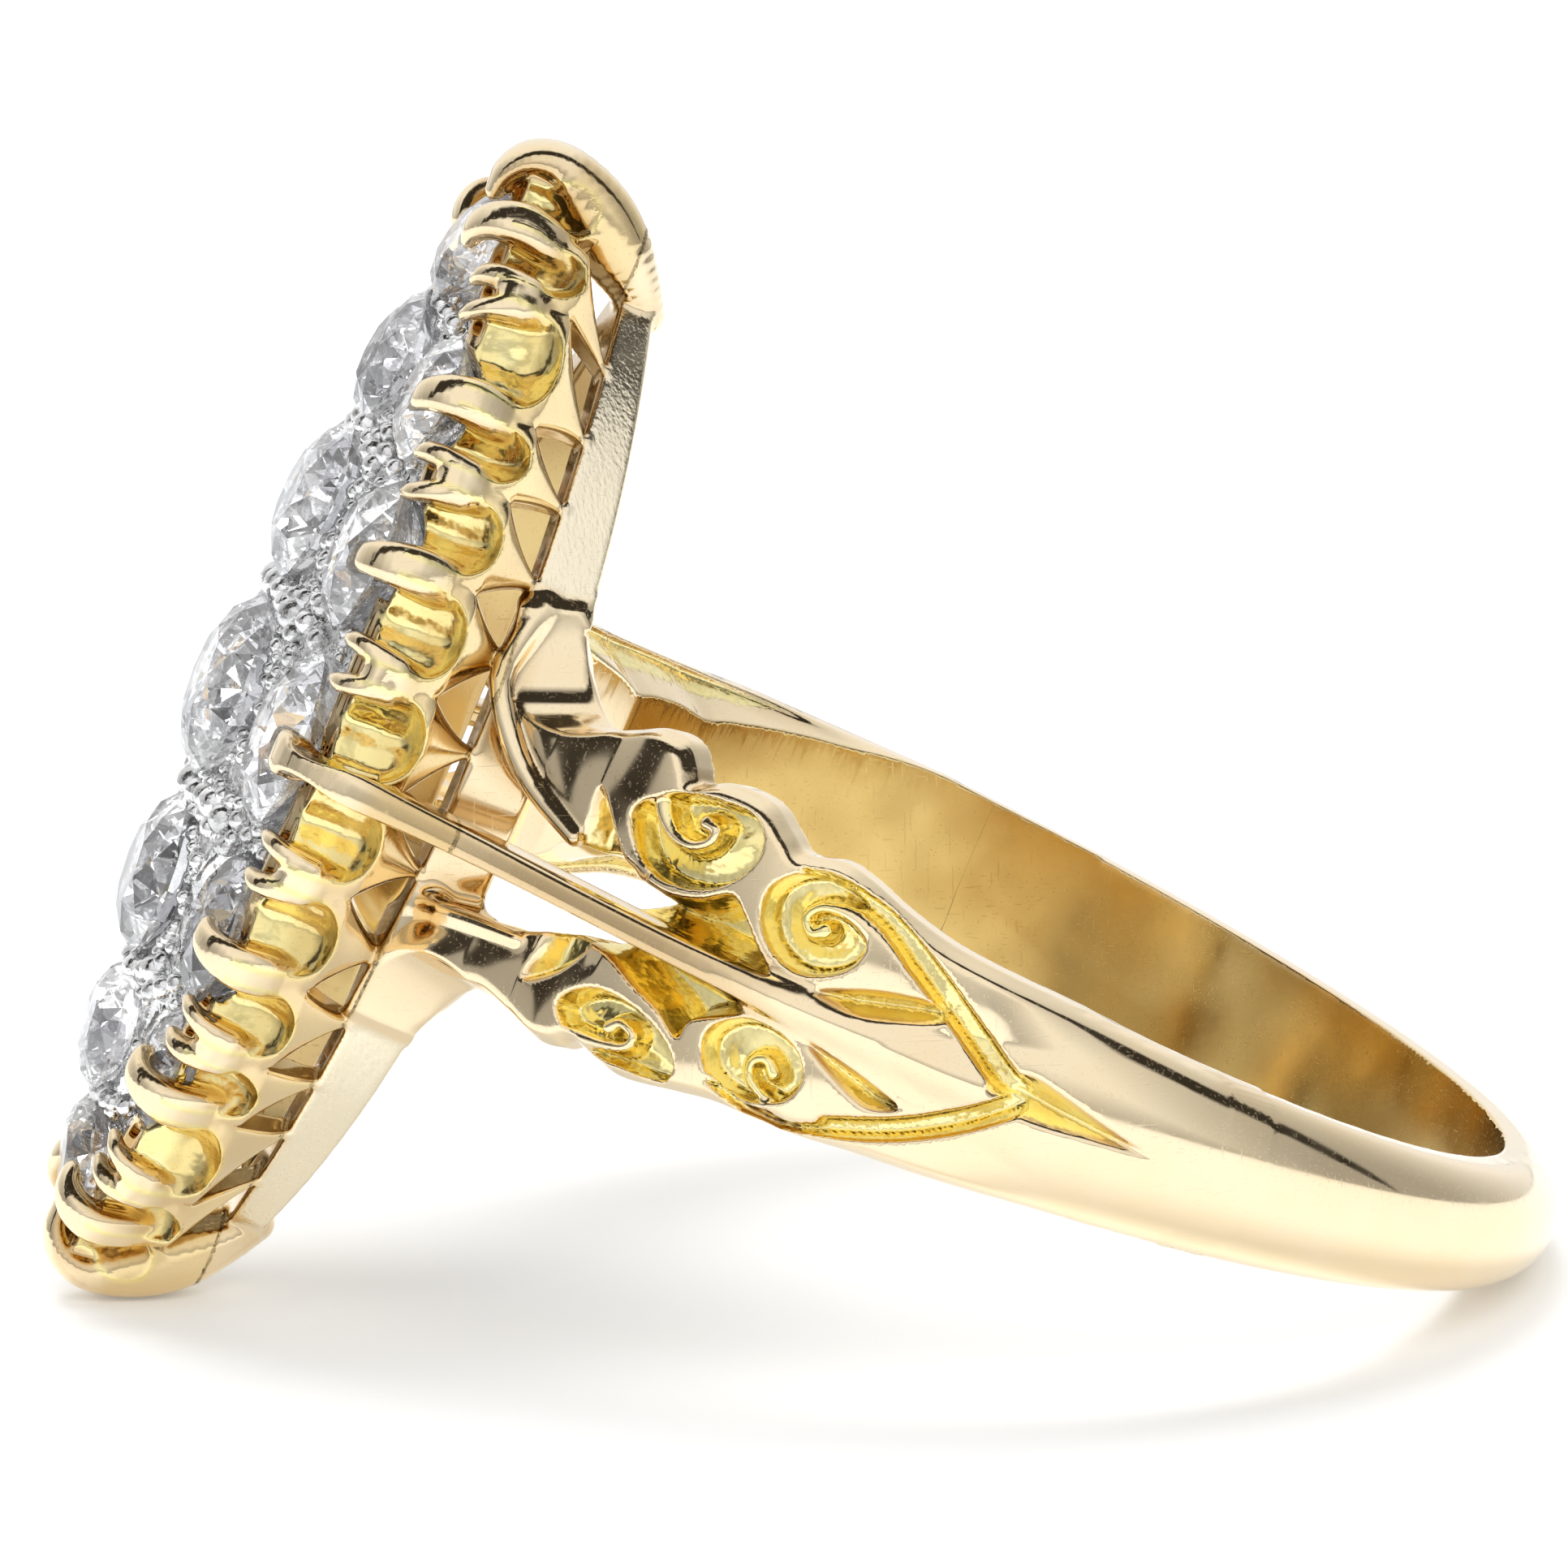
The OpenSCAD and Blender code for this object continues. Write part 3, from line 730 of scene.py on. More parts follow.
    def carve_ornament(self):
        """Cuts the channels, leaves and recesses, then the scrolls with their curls."""
        for rows in CHANNELS:
            self.channel(rows, CHANNEL_DEPTH)
        self.crease(LEAF_TIP, *TIP_CUT)
        for rows in LEAF_CUTS:
            self.notch(rows, *LEAF_CUT)
        for rows in DEEP_CUTS:
            self.notch(rows, *DEEP_CUT)
        for rows, depth in zip(SCROLL_HOLLOWS, HOLLOW_DEPTH):
            self.hollow(rows, depth)
        for rows, top in zip(SCROLL_CURLS, CURL_TOP_R):
            self.raise_curl(rows, top)

    def read(self, field, h, t, u):
        """A map's value at points of the ring's frame."""
        angle = head_angle(h, t)
        shape = np.broadcast(angle, u).shape
        i = np.broadcast_to(np.clip((angle - MAP_FROM) / MAP_STEP, 0, len(self.angle) - 1.001), shape)
        j = np.broadcast_to(np.clip((u + MAP_HALF_W) / MAP_CELL, 0, len(self.height) - 1.001), shape)
        i0 = i.astype(np.int32)
        j0 = j.astype(np.int32)
        fi = i - i0
        fj = j - j0
        return ((field[i0, j0] * (1 - fi) + field[i0 + 1, j0] * fi) * (1 - fj)
                + (field[i0, j0 + 1] * (1 - fi) + field[i0 + 1, j0 + 1] * fi) * fj)

    def form(self, h, t, u):
        """Distance to the shoulder's metal at points of the ring's frame."""
        r = np.hypot(h, t)
        angle = head_angle(h, t)
        # The sides stand straight for the first half millimetre and are undercut below it.
        deep = np.maximum(self.read(self.flush, h, t, u) - r - 0.5, 0)
        edge = self.read(self.edge, h, t, u) + by_angle(UNDERCUT, angle) * deep
        body = soft_max(r - self.read(self.radius, h, t, u), edge, 0.10)
        body = soft_max(body, self.read(self.gap, h, t, u), 0.08)
        body = soft_max(body, by_angle(INNER_R, angle) - r, 0.06)
        ends = np.maximum((MAP_FROM + 7 - angle) * ARC, (angle - MAP_TO + 4) * ARC)
        return soft_max(np.maximum(body, ends), h - SHOULDER_TOP, 0.10)

    def recess(self, points):
        """0 on the polished face and 1 down in the carving."""
        h, t, u = points.T
        depth = self.read(self.flush, h, t, u) - np.hypot(h, t)
        angle = head_angle(h, t)
        inside = -self.read(self.edge, h, t, u)
        carved = ease((depth - 0.05) / 0.12) * ease((inside - 0.05) / 0.1)
        return carved * (angle > ORNAMENT_FROM) * (angle < ORNAMENT_TO) * (np.hypot(h, t) > CARVED_OVER_R)


# The parts of the gold mount.

def band_half_width(angle):
    """Half the band's width, which grows from its back toward the shoulders."""
    return BACK_HALF_W + SIDE_GAIN * ((180 - angle) / 90) ** 2


def band(h, t, u):
    """The plain D-section band."""
    r = np.hypot(h, t)
    angle = head_angle(h, t)
    half = band_half_width(angle)
    dome = (np.sqrt((u / half) ** 2 + (np.maximum(r - RIM_R, 0) / (BAND_R - RIM_R)) ** 2) - 1) * 0.98
    side = np.abs(u) - half
    body = np.where(r > RIM_R, dome, np.maximum(side, dome))
    body = soft_max(body, FINGER_R - r, 0.10)
    return np.maximum(body, (BAND_FROM - angle) * ARC)


def finger_hole(h, t, u):
    """The room for the finger, which runs on in both directions of u."""
    return np.hypot(h, t) + 0 * u - FINGER_R


def chain(rows, p, q, along, power):
    """A bar through rows (p, q, half width along, half depth), whose section squares up with its power."""
    best = np.inf
    for a, b in zip(rows[:-1], rows[1:]):
        s, off = nearest_on_step(p, q, a, b)
        wide = a[2] + s * (b[2] - a[2])
        deep = a[3] + s * (b[3] - a[3])
        ratio = (np.abs(along / wide) ** power + (off / deep) ** power) ** (1 / power)
        best = np.minimum(best, (ratio - 1) * np.minimum(wide, deep))
    return best


# The spine bar from the shoulder to the middle claw. Columns: h, t, half width, half depth.
SPINE = [
    (4.3, 9.10, 0.30, 0.16), (5.2, 8.76, 0.28, 0.36), (6.4, 8.12, 0.25, 0.50), (7.9, 7.20, 0.24, 0.50),
    (9.6, 6.16, 0.25, 0.46), (11.2, 5.44, 0.28, 0.40), (12.2, 5.12, 0.33, 0.33), (12.86, 4.76, 0.37, 0.27),
    (13.06, 4.24, 0.35, 0.22), (12.98, 3.90, 0.26, 0.18),
]


def spine(h, t, u):
    """The spine bar, nearly square in section."""
    return chain(smooth_line(SPINE, 4), h, t, u, 4.0)


def rail(h, t, u):
    """The navette hoop that the gallery stands on."""
    outside, _ = navette_place(t, u, RAIL_HL, RAIL_HW)
    wall = np.abs(outside + RAIL_WALL / 2) - RAIL_WALL / 2
    tip = np.abs(u) - RAIL_HL + 0.2
    # The underside rises toward the tips.
    low = RAIL_LOW + RAIL_RISE * (u / RAIL_HL) ** 2
    ends = soft_max(low - h, h - RAIL_TOP, 0.04)
    return soft_max(soft_max(wall, tip, 0.3), ends, 0.10)


# Lengths along the crown's side to the claws, cups and feet of one quarter. The cups lie between the claws,
# and the last cup, at the tip, has no foot.
SINGLE_S = along_crown([3.48, 6.15, 8.82])
SPLIT_S = along_crown([1.76, 4.98, 7.86])
FOOT_S = along_crown([1.10, 2.70, 4.05, 5.36, 6.54, 7.74])
CLAW_S = sorted([0.0] + SINGLE_S + SPLIT_S + along_crown([CROWN_HL - 0.35]))
CUP_S = [(a + b) / 2 for a, b in zip(CLAW_S[:-1], CLAW_S[1:])]
CUP_HALF = [(b - a) / 2 for a, b in zip(CLAW_S[:-1], CLAW_S[1:])]

# The crown's wall: its thickness, how fast it flares, and its notches under the claws, by their peak and
# their slope.
CROWN_WALL = 0.85
FLARE = 0.55
NOTCH_H = 11.86
NOTCH_SLOPE = 1.5

# The scoops: the height of their round ends, how deep they are cut into the wall, and the depth of the flutes
# in their floors.
SCOOP_END_H = LIP_H + 0.66
SCOOP_DEPTH = 0.66
FLUTE_DEPTH = 0.05


def crown_shell(h, t, u):
    """The crown's wall above the notches under the claws."""
    outside, s = crown_place(t, u)
    far = np.abs(s)
    from_claw = np.min([np.abs(far - place) for place in CLAW_S], axis=0)
    flare = np.maximum(LIP_H + 0.3 - h, 0) * FLARE
    off = outside + flare + 0.04
    wall = np.maximum(off, -off - CROWN_WALL)
    low = np.maximum(NOTCH_H - NOTCH_SLOPE * from_claw, LIP_H)
    # Inside its outer edge the wall rises a little, up to the stones.
    top = GIRDLE_H + 0.16 * ease((-outside - 0.45) / 0.2)
    return soft_max(soft_max(wall, (low - h) * 0.7, 0.10), (h - top) * 0.7, 0.06)


def petal(k, up):
    """The underside of a cup, which tapers down to its foot on the rail."""
    cup_s = CUP_S[k] * up
    foot_s = FOOT_S[k] * up
    half_foot = 0.10
    half_top = CUP_HALF[k] * 0.96

    def form(h, t, u):
        rise = np.clip((h - RAIL_TOP) / (LIP_H + 0.15 - RAIL_TOP), -0.1, 1.5)
        share = np.clip(rise, 0, 1)
        outside, s = crown_place(t, u)
        low_outside, _ = navette_place(t, u, RAIL_HL + 0.1, RAIL_HW)
        # From the foot up, the petal drifts to its cup, widens, leans out and thickens.
        middle = foot_s + (cup_s - foot_s) * share
        half = half_foot + (half_top - half_foot) * np.clip(rise, 0, 1.2) ** 1.35
        across = (s - middle) / half
        off = outside * share + low_outside * (1 - share)
        off = off - 0.20 * share ** 2 + 0.20 * across ** 2 * share
        thick = 0.46 + 0.20 * share
        sides = (np.abs(s - middle) - half) * 0.85
        body = soft_max(soft_max(off, -off - thick, 0.05), sides, 0.10)
        return soft_max(body, np.maximum(RAIL_TOP - 0.12 - h, h - LIP_H - 0.55), 0.04)
    return form


def scoop(k, up):
    """The room that a scoop takes: a flute between two claws, closed at its lip by a round end."""
    middle = CUP_S[k] * up
    half = max(CUP_HALF[k] - 0.17, 0.26)

    def form(h, t, u):
        outside, s = crown_place(t, u)
        below = np.minimum(h - SCOOP_END_H, 0) / 0.56
        # Two flutes side by side make the floor of each scoop wavy.
        flute = FLUTE_DEPTH * np.cos((s - middle) / half * 2 * math.pi) + 0.02 * np.sin(h * 9 + k)
        depth = SCOOP_DEPTH + flute
        size = np.sqrt(((s - middle) / half) ** 2 + ((outside - 0.24) / depth) ** 2 + below ** 2)
        return (size - 1) * 0.42
    return form


# Claws by height and distance outside the crown's side. Each leans by its turn about a middle height.
# Columns: h, outside, half width, half depth.
TURN_H = 12
SINGLE_CLAW = [
    (11.55, -0.26, 0.33, 0.24), (11.95, -0.08, 0.40, 0.28), (12.40, 0.02, 0.39, 0.29),
    (12.78, -0.12, 0.33, 0.26), (12.98, -0.42, 0.29, 0.21), (12.98, -0.74, 0.27, 0.19),
    (12.90, -0.90, 0.20, 0.14),
]
SPLIT_STEM = [
    (11.50, -0.26, 0.30, 0.24), (11.85, -0.10, 0.36, 0.27), (12.22, -0.04, 0.42, 0.27),
]
SPLIT_PRONG = [
    (12.02, -0.06, 0.24, 0.25), (12.42, -0.08, 0.21, 0.22), (12.68, -0.26, 0.17, 0.17),
    (12.78, -0.52, 0.12, 0.12),
]


def single_claw(middle, turn):
    """A round-headed claw that folds over the stones' edge."""
    line = smooth_line(SINGLE_CLAW, 4)

    def form(h, t, u):
        outside, s = crown_place(t, u)
        return chain(line, h, outside, s - middle - turn * (h - TURN_H), 2.5)
    return form


def split_claw(middle, turn):
    """A claw whose stem parts into two prongs, one for the stone on each side."""
    stem_line = smooth_line(SPLIT_STEM, 4)
    prong_line = smooth_line(SPLIT_PRONG, 4)

    def form(h, t, u):
        outside, s = crown_place(t, u)
        along = s - middle - turn * (h - TURN_H)
        stem = chain(stem_line, h, outside, along, 2.5)
        # The prongs part more the higher they are.
        spread = 0.19 + 0.17 * np.clip((h - 12.05) / 0.7, 0, 1)
        prongs = chain(prong_line, h, outside, np.abs(along) - spread, 2.2)
        return soft_min(stem, prongs, 0.08)
    return form


# The claw at each tip of the navette. Columns: h, u, half width, half depth.
TIP_CLAW = [
    (9.80, 8.12, 0.50, 0.34), (10.20, 8.54, 0.64, 0.46), (10.75, 9.00, 0.78, 0.62),
    (11.30, 9.42, 0.78, 0.60), (11.95, 9.80, 0.66, 0.40), (12.45, 9.76, 0.56, 0.30),
    (12.74, 9.44, 0.42, 0.24), (12.80, 9.06, 0.28, 0.18),
]


def tip_claw(h, t, u):
    """The broad claws that fold over both tips."""
    return chain(smooth_line(TIP_CLAW, 4), h, np.abs(u), t, 2.4)


# The troughs between the rail's face and the branches, which open away from the ring's middle. Each moves
# and narrows from its first row to its second. Columns: h, t, u, radius.
UPPER_SWEEP = [(9.9, 5.55, 3.65, 1.80), (8.8, 5.28, 3.95, 1.64)]
LOWER_SWEEP = [(9.9, 5.40, -3.60, 1.62), (8.8, 5.14, -3.66, 1.42)]

# Rounded rims of the branches where they leave the rail. Columns: h, t, u, radius.
UPPER_RIM = [
    (10.05, 3.7, 3.55, 0.12), (10.24, 4.0, 3.08, 0.16), (10.36, 4.4, 2.35, 0.18),
    (9.92, 4.85, 1.62, 0.18), (9.36, 5.36, 1.10, 0.17), (8.60, 6.16, 0.72, 0.13),
]
LOWER_RIM = [
    (10.08, 4.05, -1.56, 0.15), (9.80, 4.66, -1.40, 0.15), (9.28, 5.34, -1.25, 0.13),
    (8.78, 5.98, -1.14, 0.09),
]


def rim(rows):
    """A round wire along a line in space."""
    line = smooth_line(rows, 3)

    def form(h, t, u):
        best = np.inf
        for a, b in zip(line[:-1], line[1:]):
            step = b[:3] - a[:3]
            s = np.clip(((h - a[0]) * step[0] + (t - a[1]) * step[1] + (u - a[2]) * step[2])
                        / (step @ step), 0, 1)
            off = np.sqrt((h - a[0] - s * step[0]) ** 2 + (t - a[1] - s * step[1]) ** 2
                          + (u - a[2] - s * step[2]) ** 2) - a[3] - s * (b[3] - a[3])
            best = np.minimum(best, off)
        return best
    return form


def sweep(ends):
    """The room that a trough takes."""
    (h0, t0, u0, r0), (h1, t1, u1, r1) = ends
    up = 1 if u0 > 0 else -1

    def form(h, t, u):
        share = (h - h0) / (h1 - h0)
        radius = r0 + share * (r1 - r0)
        out = t - t0 - share * (t1 - t0)
        along = (u - u0 - share * (u1 - u0)) * up
        # Past the middle line the floor falls away under the rail's face.
        floor = np.minimum(out + 2.2 * along, 0)
        off = np.where(along < 0, np.hypot(out, along), np.abs(floor))
        return (off - radius) * 0.9
    return form


# Stones, as in the part's source: one half of the middle row. Columns: u, h, diameter, lean along.
MIDDLE_STONES = [
    (0.00, 13.62, 3.15, 0), (3.32, 13.50, 2.78, 3), (5.92, 13.26, 2.24, 6), (8.10, 12.82, 2.04, 14),
]

# The near row of stones, which the far row mirrors. Columns: u, t, h, diameter, lean outward, lean along.
NEAR_STONES = [
    (5.84, 2.24, 12.80, 2.20, 25, 5), (3.24, 2.82, 12.88, 2.70, 26, 2), (0.00, 3.04, 12.88, 3.00, 26, 0),
    (-3.26, 2.80, 12.66, 2.62, 20, -2), (-5.86, 2.17, 12.50, 2.06, 17, -5),
]

# A stone's section: how the crown's and the pavilion's facets face across and along its axis, and the
# table's height as a share of the diameter.
CROWN_FACING = 0.46, 0.888
PAVILION_FACING = 0.72, 0.694
TABLE_SHARE = 0.175


def stone_rows():
    """Every stone as (h, t, u, diameter, lean outward, lean along)."""
    rows = []
    for u, h, d, along in MIDDLE_STONES:
        for up in ((1, -1) if u else (1,)):
            rows.append((h, 0, u * up, d, 0, along * up))
    for u, t, h, d, out, along in NEAR_STONES:
        for side in (1, -1):
            rows.append((h, t * side, u, d, out * side, along))
    return rows


def stone_axis(out, along):
    """The direction that a stone's table faces."""
    a, b = math.radians(out), math.radians(along)
    return np.array([math.cos(a) * math.cos(b), math.sin(a) * math.cos(b), math.sin(b)])


def box_round(centre, reach):
    """The two corners of a box round a place."""
    return [c - r for c, r in zip(centre, reach)], [c + r for c, r in zip(centre, reach)]


def seats(casting, gap=0.03):
    """Cuts the room for each stone out of the metal."""
    for h0, t0, u0, d, out, along in stone_rows():
        reach = d * 0.62
        axis = stone_axis(out, along)

        def form(h, t, u):
            up = (h - h0) * axis[0] + (t - t0) * axis[1] + (u - u0) * axis[2]
            side = np.sqrt(np.maximum((h - h0) ** 2 + (t - t0) ** 2 + (u - u0) ** 2 - up * up, 0))
            r = d / 2
            crown = side * CROWN_FACING[0] + up * CROWN_FACING[1] - (r * CROWN_FACING[0] + 0.02)
            pavilion = side * PAVILION_FACING[0] - up * PAVILION_FACING[1] - r * PAVILION_FACING[0]
            table = up - TABLE_SHARE * d
            return np.maximum(np.maximum(np.maximum(crown, pavilion), table), side - r) - gap
        casting.carve(*box_round((h0, t0, u0), (reach, reach, reach)), form, 0.02)


def side_box(s, h, reach, drop=0.0):
    """The two corners of a box round a place on the crown's side."""
    t, u = crown_point(s)
    return box_round((h, t - drop, u), reach)


def cast_crown(casting):
    """The crown's wall with its cups, scoops and claws, some of which lean a little."""
    lean = 0.03
    casting.add((9.9, 0, -10.4), (12.8, 5.4, 10.4), crown_shell, 0.05)
    for up in (1, -1):
        for k in range(len(FOOT_S)):
            casting.add(*side_box(CUP_S[k] * up, 10.9, (1.0, 1.4, 1.8), 0.3), petal(k, up), 0.05)
        for k, s in enumerate(CUP_S):
            casting.carve(*side_box(s * up, 12.1, (1.3, 1.4, 1.4)), scoop(k, up), 0.05)
        for k, s in enumerate(SINGLE_S):
            claw = single_claw(s * up, lean * (k - 1) * up)
            casting.add(*side_box(s * up, 12.3, (1.2, 1.4, 1.2)), claw, 0.10)
        for k, s in enumerate(SPLIT_S):
            claw = split_claw(s * up, -lean * (k - 1) * up)
            casting.add(*side_box(s * up, 12.2, (1.2, 1.3, 1.3)), claw, 0.08)
    casting.add((9.2, 0, -10.5), (13.3, 1.3, 10.5), tip_claw, 0.10)


def cast_gold(shoulder):
    """All the gold: one side is cast and then mirrored."""
    side = BAND_R + 0.9
    casting = Casting((-BAND_R - 0.3, 0, -CROWN_HL - 0.5), (13.6, side, CROWN_HL + 0.5), CELL)
    casting.add((-10.4, 0, -2.6), (0.4, side, 2.6), band, 0.0)
    casting.add((-4.6, 2.4, -4.6), (10.8, side, 4.6), shoulder.form, 0.0)
    casting.carve((8.2, 2.4, 0.6), (11.3, 8.0, 5.6), sweep(UPPER_SWEEP), 0.07)
    casting.carve((8.2, 2.4, -5.6), (11.3, 8.0, -0.6), sweep(LOWER_SWEEP), 0.07)
    casting.add((7.9, 3.2, 0.2), (10.7, 6.8, 4.0), rim(UPPER_RIM), 0.16)
    casting.add((7.9, 3.6, -2.0), (10.5, 7.2, -0.5), rim(LOWER_RIM), 0.14)
    casting.add((2.8, 3.4, -1.0), (13.5, 10.3, 1.0), spine, 0.16)
    casting.add((8.9, 0, -9.2), (10.6, 4.8, 9.2), rail, 0.45)
    cast_crown(casting)
    seats(casting)
    casting.carve((-9, 0, -10.5), (9, 9.2, 10.5), finger_hole, 0.06)
    return casting.mirrored()


def scoop_nearness(points, fade=0.035, top=12.6):
    """1 on the surface of a scoop, under the claws' heads."""
    h, t, u = points.T
    best = np.zeros(len(points))
    for k in range(len(CUP_S)):
        for up in (1, -1):
            distance = scoop(k, up)(h, np.abs(t), u)
            best = np.maximum(best, np.exp(-(distance / fade) ** 2))
    return best * (h < top)


# Where the rail is brushed, and the height from which the inside is the gallery's, not the finger hole's.
BRUSHED_FROM_U = 3.2
HOLE_TOP = 8.9

# The far shoulder's upper edge, which is straighter than the near one's. Columns: angle, distance.
FAR_EDGE = [
    (30, 2.72), (33, 2.50), (38, 2.24), (45, 2.06), (52, 1.93), (60, 1.81), (67, 1.76), (78, 1.66),
    (88, 1.63),
]


def narrow_far(mesh):
    """Draws the far shoulder's upper branch in to its own outline."""
    points = mesh_points(mesh)
    angle = head_angle(points[:, 0], points[:, 1])
    share = by_angle(smooth_line(FAR_EDGE), angle) / by_angle(smooth_line(UPPER_OUTER), angle)
    share = np.where((angle > FAR_EDGE[0][0]) & (angle < FAR_EDGE[-1][0]), np.minimum(share, 1), 1)
    far = (points[:, 1] < 0) & (points[:, 2] > 0)
    points[far, 2] *= share[far]
    mesh.vertices.foreach_set("co", lie_down(points).ravel())
    mesh.update()


def crevice_shade_amount(points, whole):
    """0 in the open and 1 where other metal stands close in front of the surface: how much painted shade the
    gold gets there.
    """
    facing = unit(whole.slope(points))
    total = np.zeros(len(points))
    for reach in (0.25, 0.5, 0.9):
        total += np.clip(1 - whole.sample(points + facing * reach) / reach, 0, 1) / 3
    return total


def finish_gold(piece, shoulder, whole):
    """Writes where the gold is carved, scooped, brushed or inside the ring, and how much painted crevice
    shade it gets.
    """
    points = mesh_points(piece.data)
    h, t, u = points.T
    recess = np.maximum(shoulder.recess(points), scoop_nearness(points))
    # Only the rail's outer face is brushed, toward the tips.
    outside, _ = navette_place(t, u, RAIL_HL, RAIL_HW)
    on_rail = ease(1 - np.abs(outside) / 0.05) * ease((h - 9.2) / 0.1) * ease((RAIL_TOP - h) / 0.1)
    on_rail = on_rail * ease((np.abs(u) - BRUSHED_FROM_U) / 0.5)
    # The finger hole, the head's underside and the gallery are darker, each less than the last: painted shade
    # under the head and in the gallery.
    hole = ease(1 - (np.hypot(h, t) - FINGER_R) / 0.08) * (h < HOLE_TOP)
    under = ease((-outside - 0.4) / 0.3) * (h > HOLE_TOP) * (h < 12.2)
    gallery = ease((h - RAIL_TOP + 0.05) / 0.1) * ease((12.0 - h) / 0.4)
    set_field(piece.data, "recess", recess)
    # Painted shade in the crevices, less of it in the carving.
    set_field(piece.data, "painted_crevice_shade", crevice_shade_amount(points, whole) * (1 - 0.7 * recess))
    set_field(piece.data, "brushed", on_rail)
    set_field(piece.data, "inner", np.maximum(np.maximum(hole, under * 0.8), gallery * 0.45))


# Silver. The plate's half length, half width and thickness, the share of its half width where its domed
# middle turns down to its edge, the heights of both, and how fast they fall toward the tips.
PLATE_HL = CROWN_HL - 1.85
PLATE_HW = CROWN_HW - 0.96
PLATE_THICK = 0.95
PLATE_BEND = 0.55
PLATE_TOP = 13.48
PLATE_EDGE = 12.44
TOP_FALL = 0.0115
EDGE_FALL = 0.002
PLATE_BOX = (11.2, 0, -8.8), (14.2, 4.4, 8.8)

# The plate's ripples. Columns: height, how close their waves are.
RIPPLES = [(0.05, 7.0), (0.03, 17.0)]


def ripple(h, t, u, scale):
    """An uneven surface, from crossed waves."""
    return (np.sin(h * scale * 1.3 + t * scale * 2.1 + 0.7) * np.sin(u * scale * 1.9 - t * scale * 0.9 + 2.1)
            + np.sin(h * scale * 2.3 - u * scale * 1.4 + 1.3) * np.sin(t * scale * 2.6 + u * scale * 0.8)) / 2


def silver_top(t, u):
    """Height of the silver plate's upper face, and the distance outside its outline."""
    outside, _ = navette_place(t, u, PLATE_HL, PLATE_HW)
    r = arc_radius(PLATE_HL, PLATE_HW)
    half = np.sqrt(np.maximum(r * r - u * u, 0)) - r + PLATE_HW
    share = np.clip(np.abs(t) / np.maximum(half, 0.2), 0, 1)
    middle = PLATE_TOP - TOP_FALL * u * u
    edge = PLATE_EDGE - EDGE_FALL * u * u
    bend = (middle + edge) / 2 + 0.20
    top = np.where(share < PLATE_BEND, middle + (bend - middle) * (share / PLATE_BEND) ** 1.6,
                   bend + (edge - bend) * (share - PLATE_BEND) / (1 - PLATE_BEND))
    return top, outside


def cast_silver():
    """The silver plate with the stones' seats cut into it."""
    casting = Casting(*PLATE_BOX, CELL)

    def plate(h, t, u):
        top, outside = silver_top(t, u)
        for height, scale in RIPPLES:
            top = top + height * ripple(h, t, u, scale)
        return soft_max(soft_max(h - top, top - PLATE_THICK - h, 0.1), outside, 0.08)

    casting.add(*PLATE_BOX, plate, 0.0)
    seats(casting)
    return casting.mirrored()


# Silver beads: the radius that they are made with before they are scaled, and how deep they are dented.
BEAD_R = 0.2
DENT_DEPTH = 0.045

# Large grains of one quarter of the head. Columns: place along, place across, radius.
GRAINS = [
    (1.66, 1.50, 0.29), (1.40, 1.76, 0.20), (1.98, 1.66, 0.22), (1.72, 2.06, 0.26), (1.60, 2.44, 0.20),
    (1.80, 0.42, 0.27), (1.70, 0.90, 0.22), (1.92, 1.18, 0.20), (4.60, 1.20, 0.27), (4.40, 1.50, 0.19),
    (4.66, 1.68, 0.22), (4.54, 2.06, 0.19), (4.82, 0.36, 0.26), (4.72, 0.78, 0.21), (4.92, 1.40, 0.18),
    (6.92, 0.95, 0.22), (7.02, 0.30, 0.24), (6.98, 0.62, 0.18), (7.10, 1.24, 0.18), (2.10, 2.30, 0.18),
    (0.62, 1.72, 0.16), (3.32, 1.52, 0.16), (2.60, 1.56, 0.16), (4.02, 1.44, 0.16), (5.9, 1.22, 0.14),
]

# How many small grains lie between the stones, their radii, and the seed for where they and the large
# grains' offsets fall.
SMALL_GRAINS = 260
SMALL_R = 0.09, 0.17
GRAIN_SEED = 7


def between_stones(t, u):
    """How near a place is to a stone's edge: 1 on the edge, more between stones."""
    nearest = math.inf
    for _, t0, u0, d, out, _ in stone_rows():
        wide = d / 2 * math.cos(math.radians(out))
        nearest = min(nearest, math.hypot((t - t0) / wide, (u - u0) / (d / 2)))
    return nearest


def grain_places(draw):
    """Places and sizes of the large grains, and of small ones scattered in the gaps between the stones."""
    large = []
    for along, across, r in GRAINS:
        for up in (1, -1):
            for side in (1, -1):
                jog = draw.normal(0, 0.035, 2)
                large.append((along * up + jog[0], across * side + jog[1], r * draw.uniform(0.86, 1.1)))
    small = []
    while len(small) < SMALL_GRAINS:
        u, t = draw.uniform(-8.1, 8.1), draw.uniform(-3.7, 3.7)
        _, outside = silver_top(np.array([t]), np.array([u]))
        if outside[0] < -0.12 and between_stones(t, u) > 0.95:
            small.append((u, t, draw.uniform(*SMALL_R)))
    return large, small


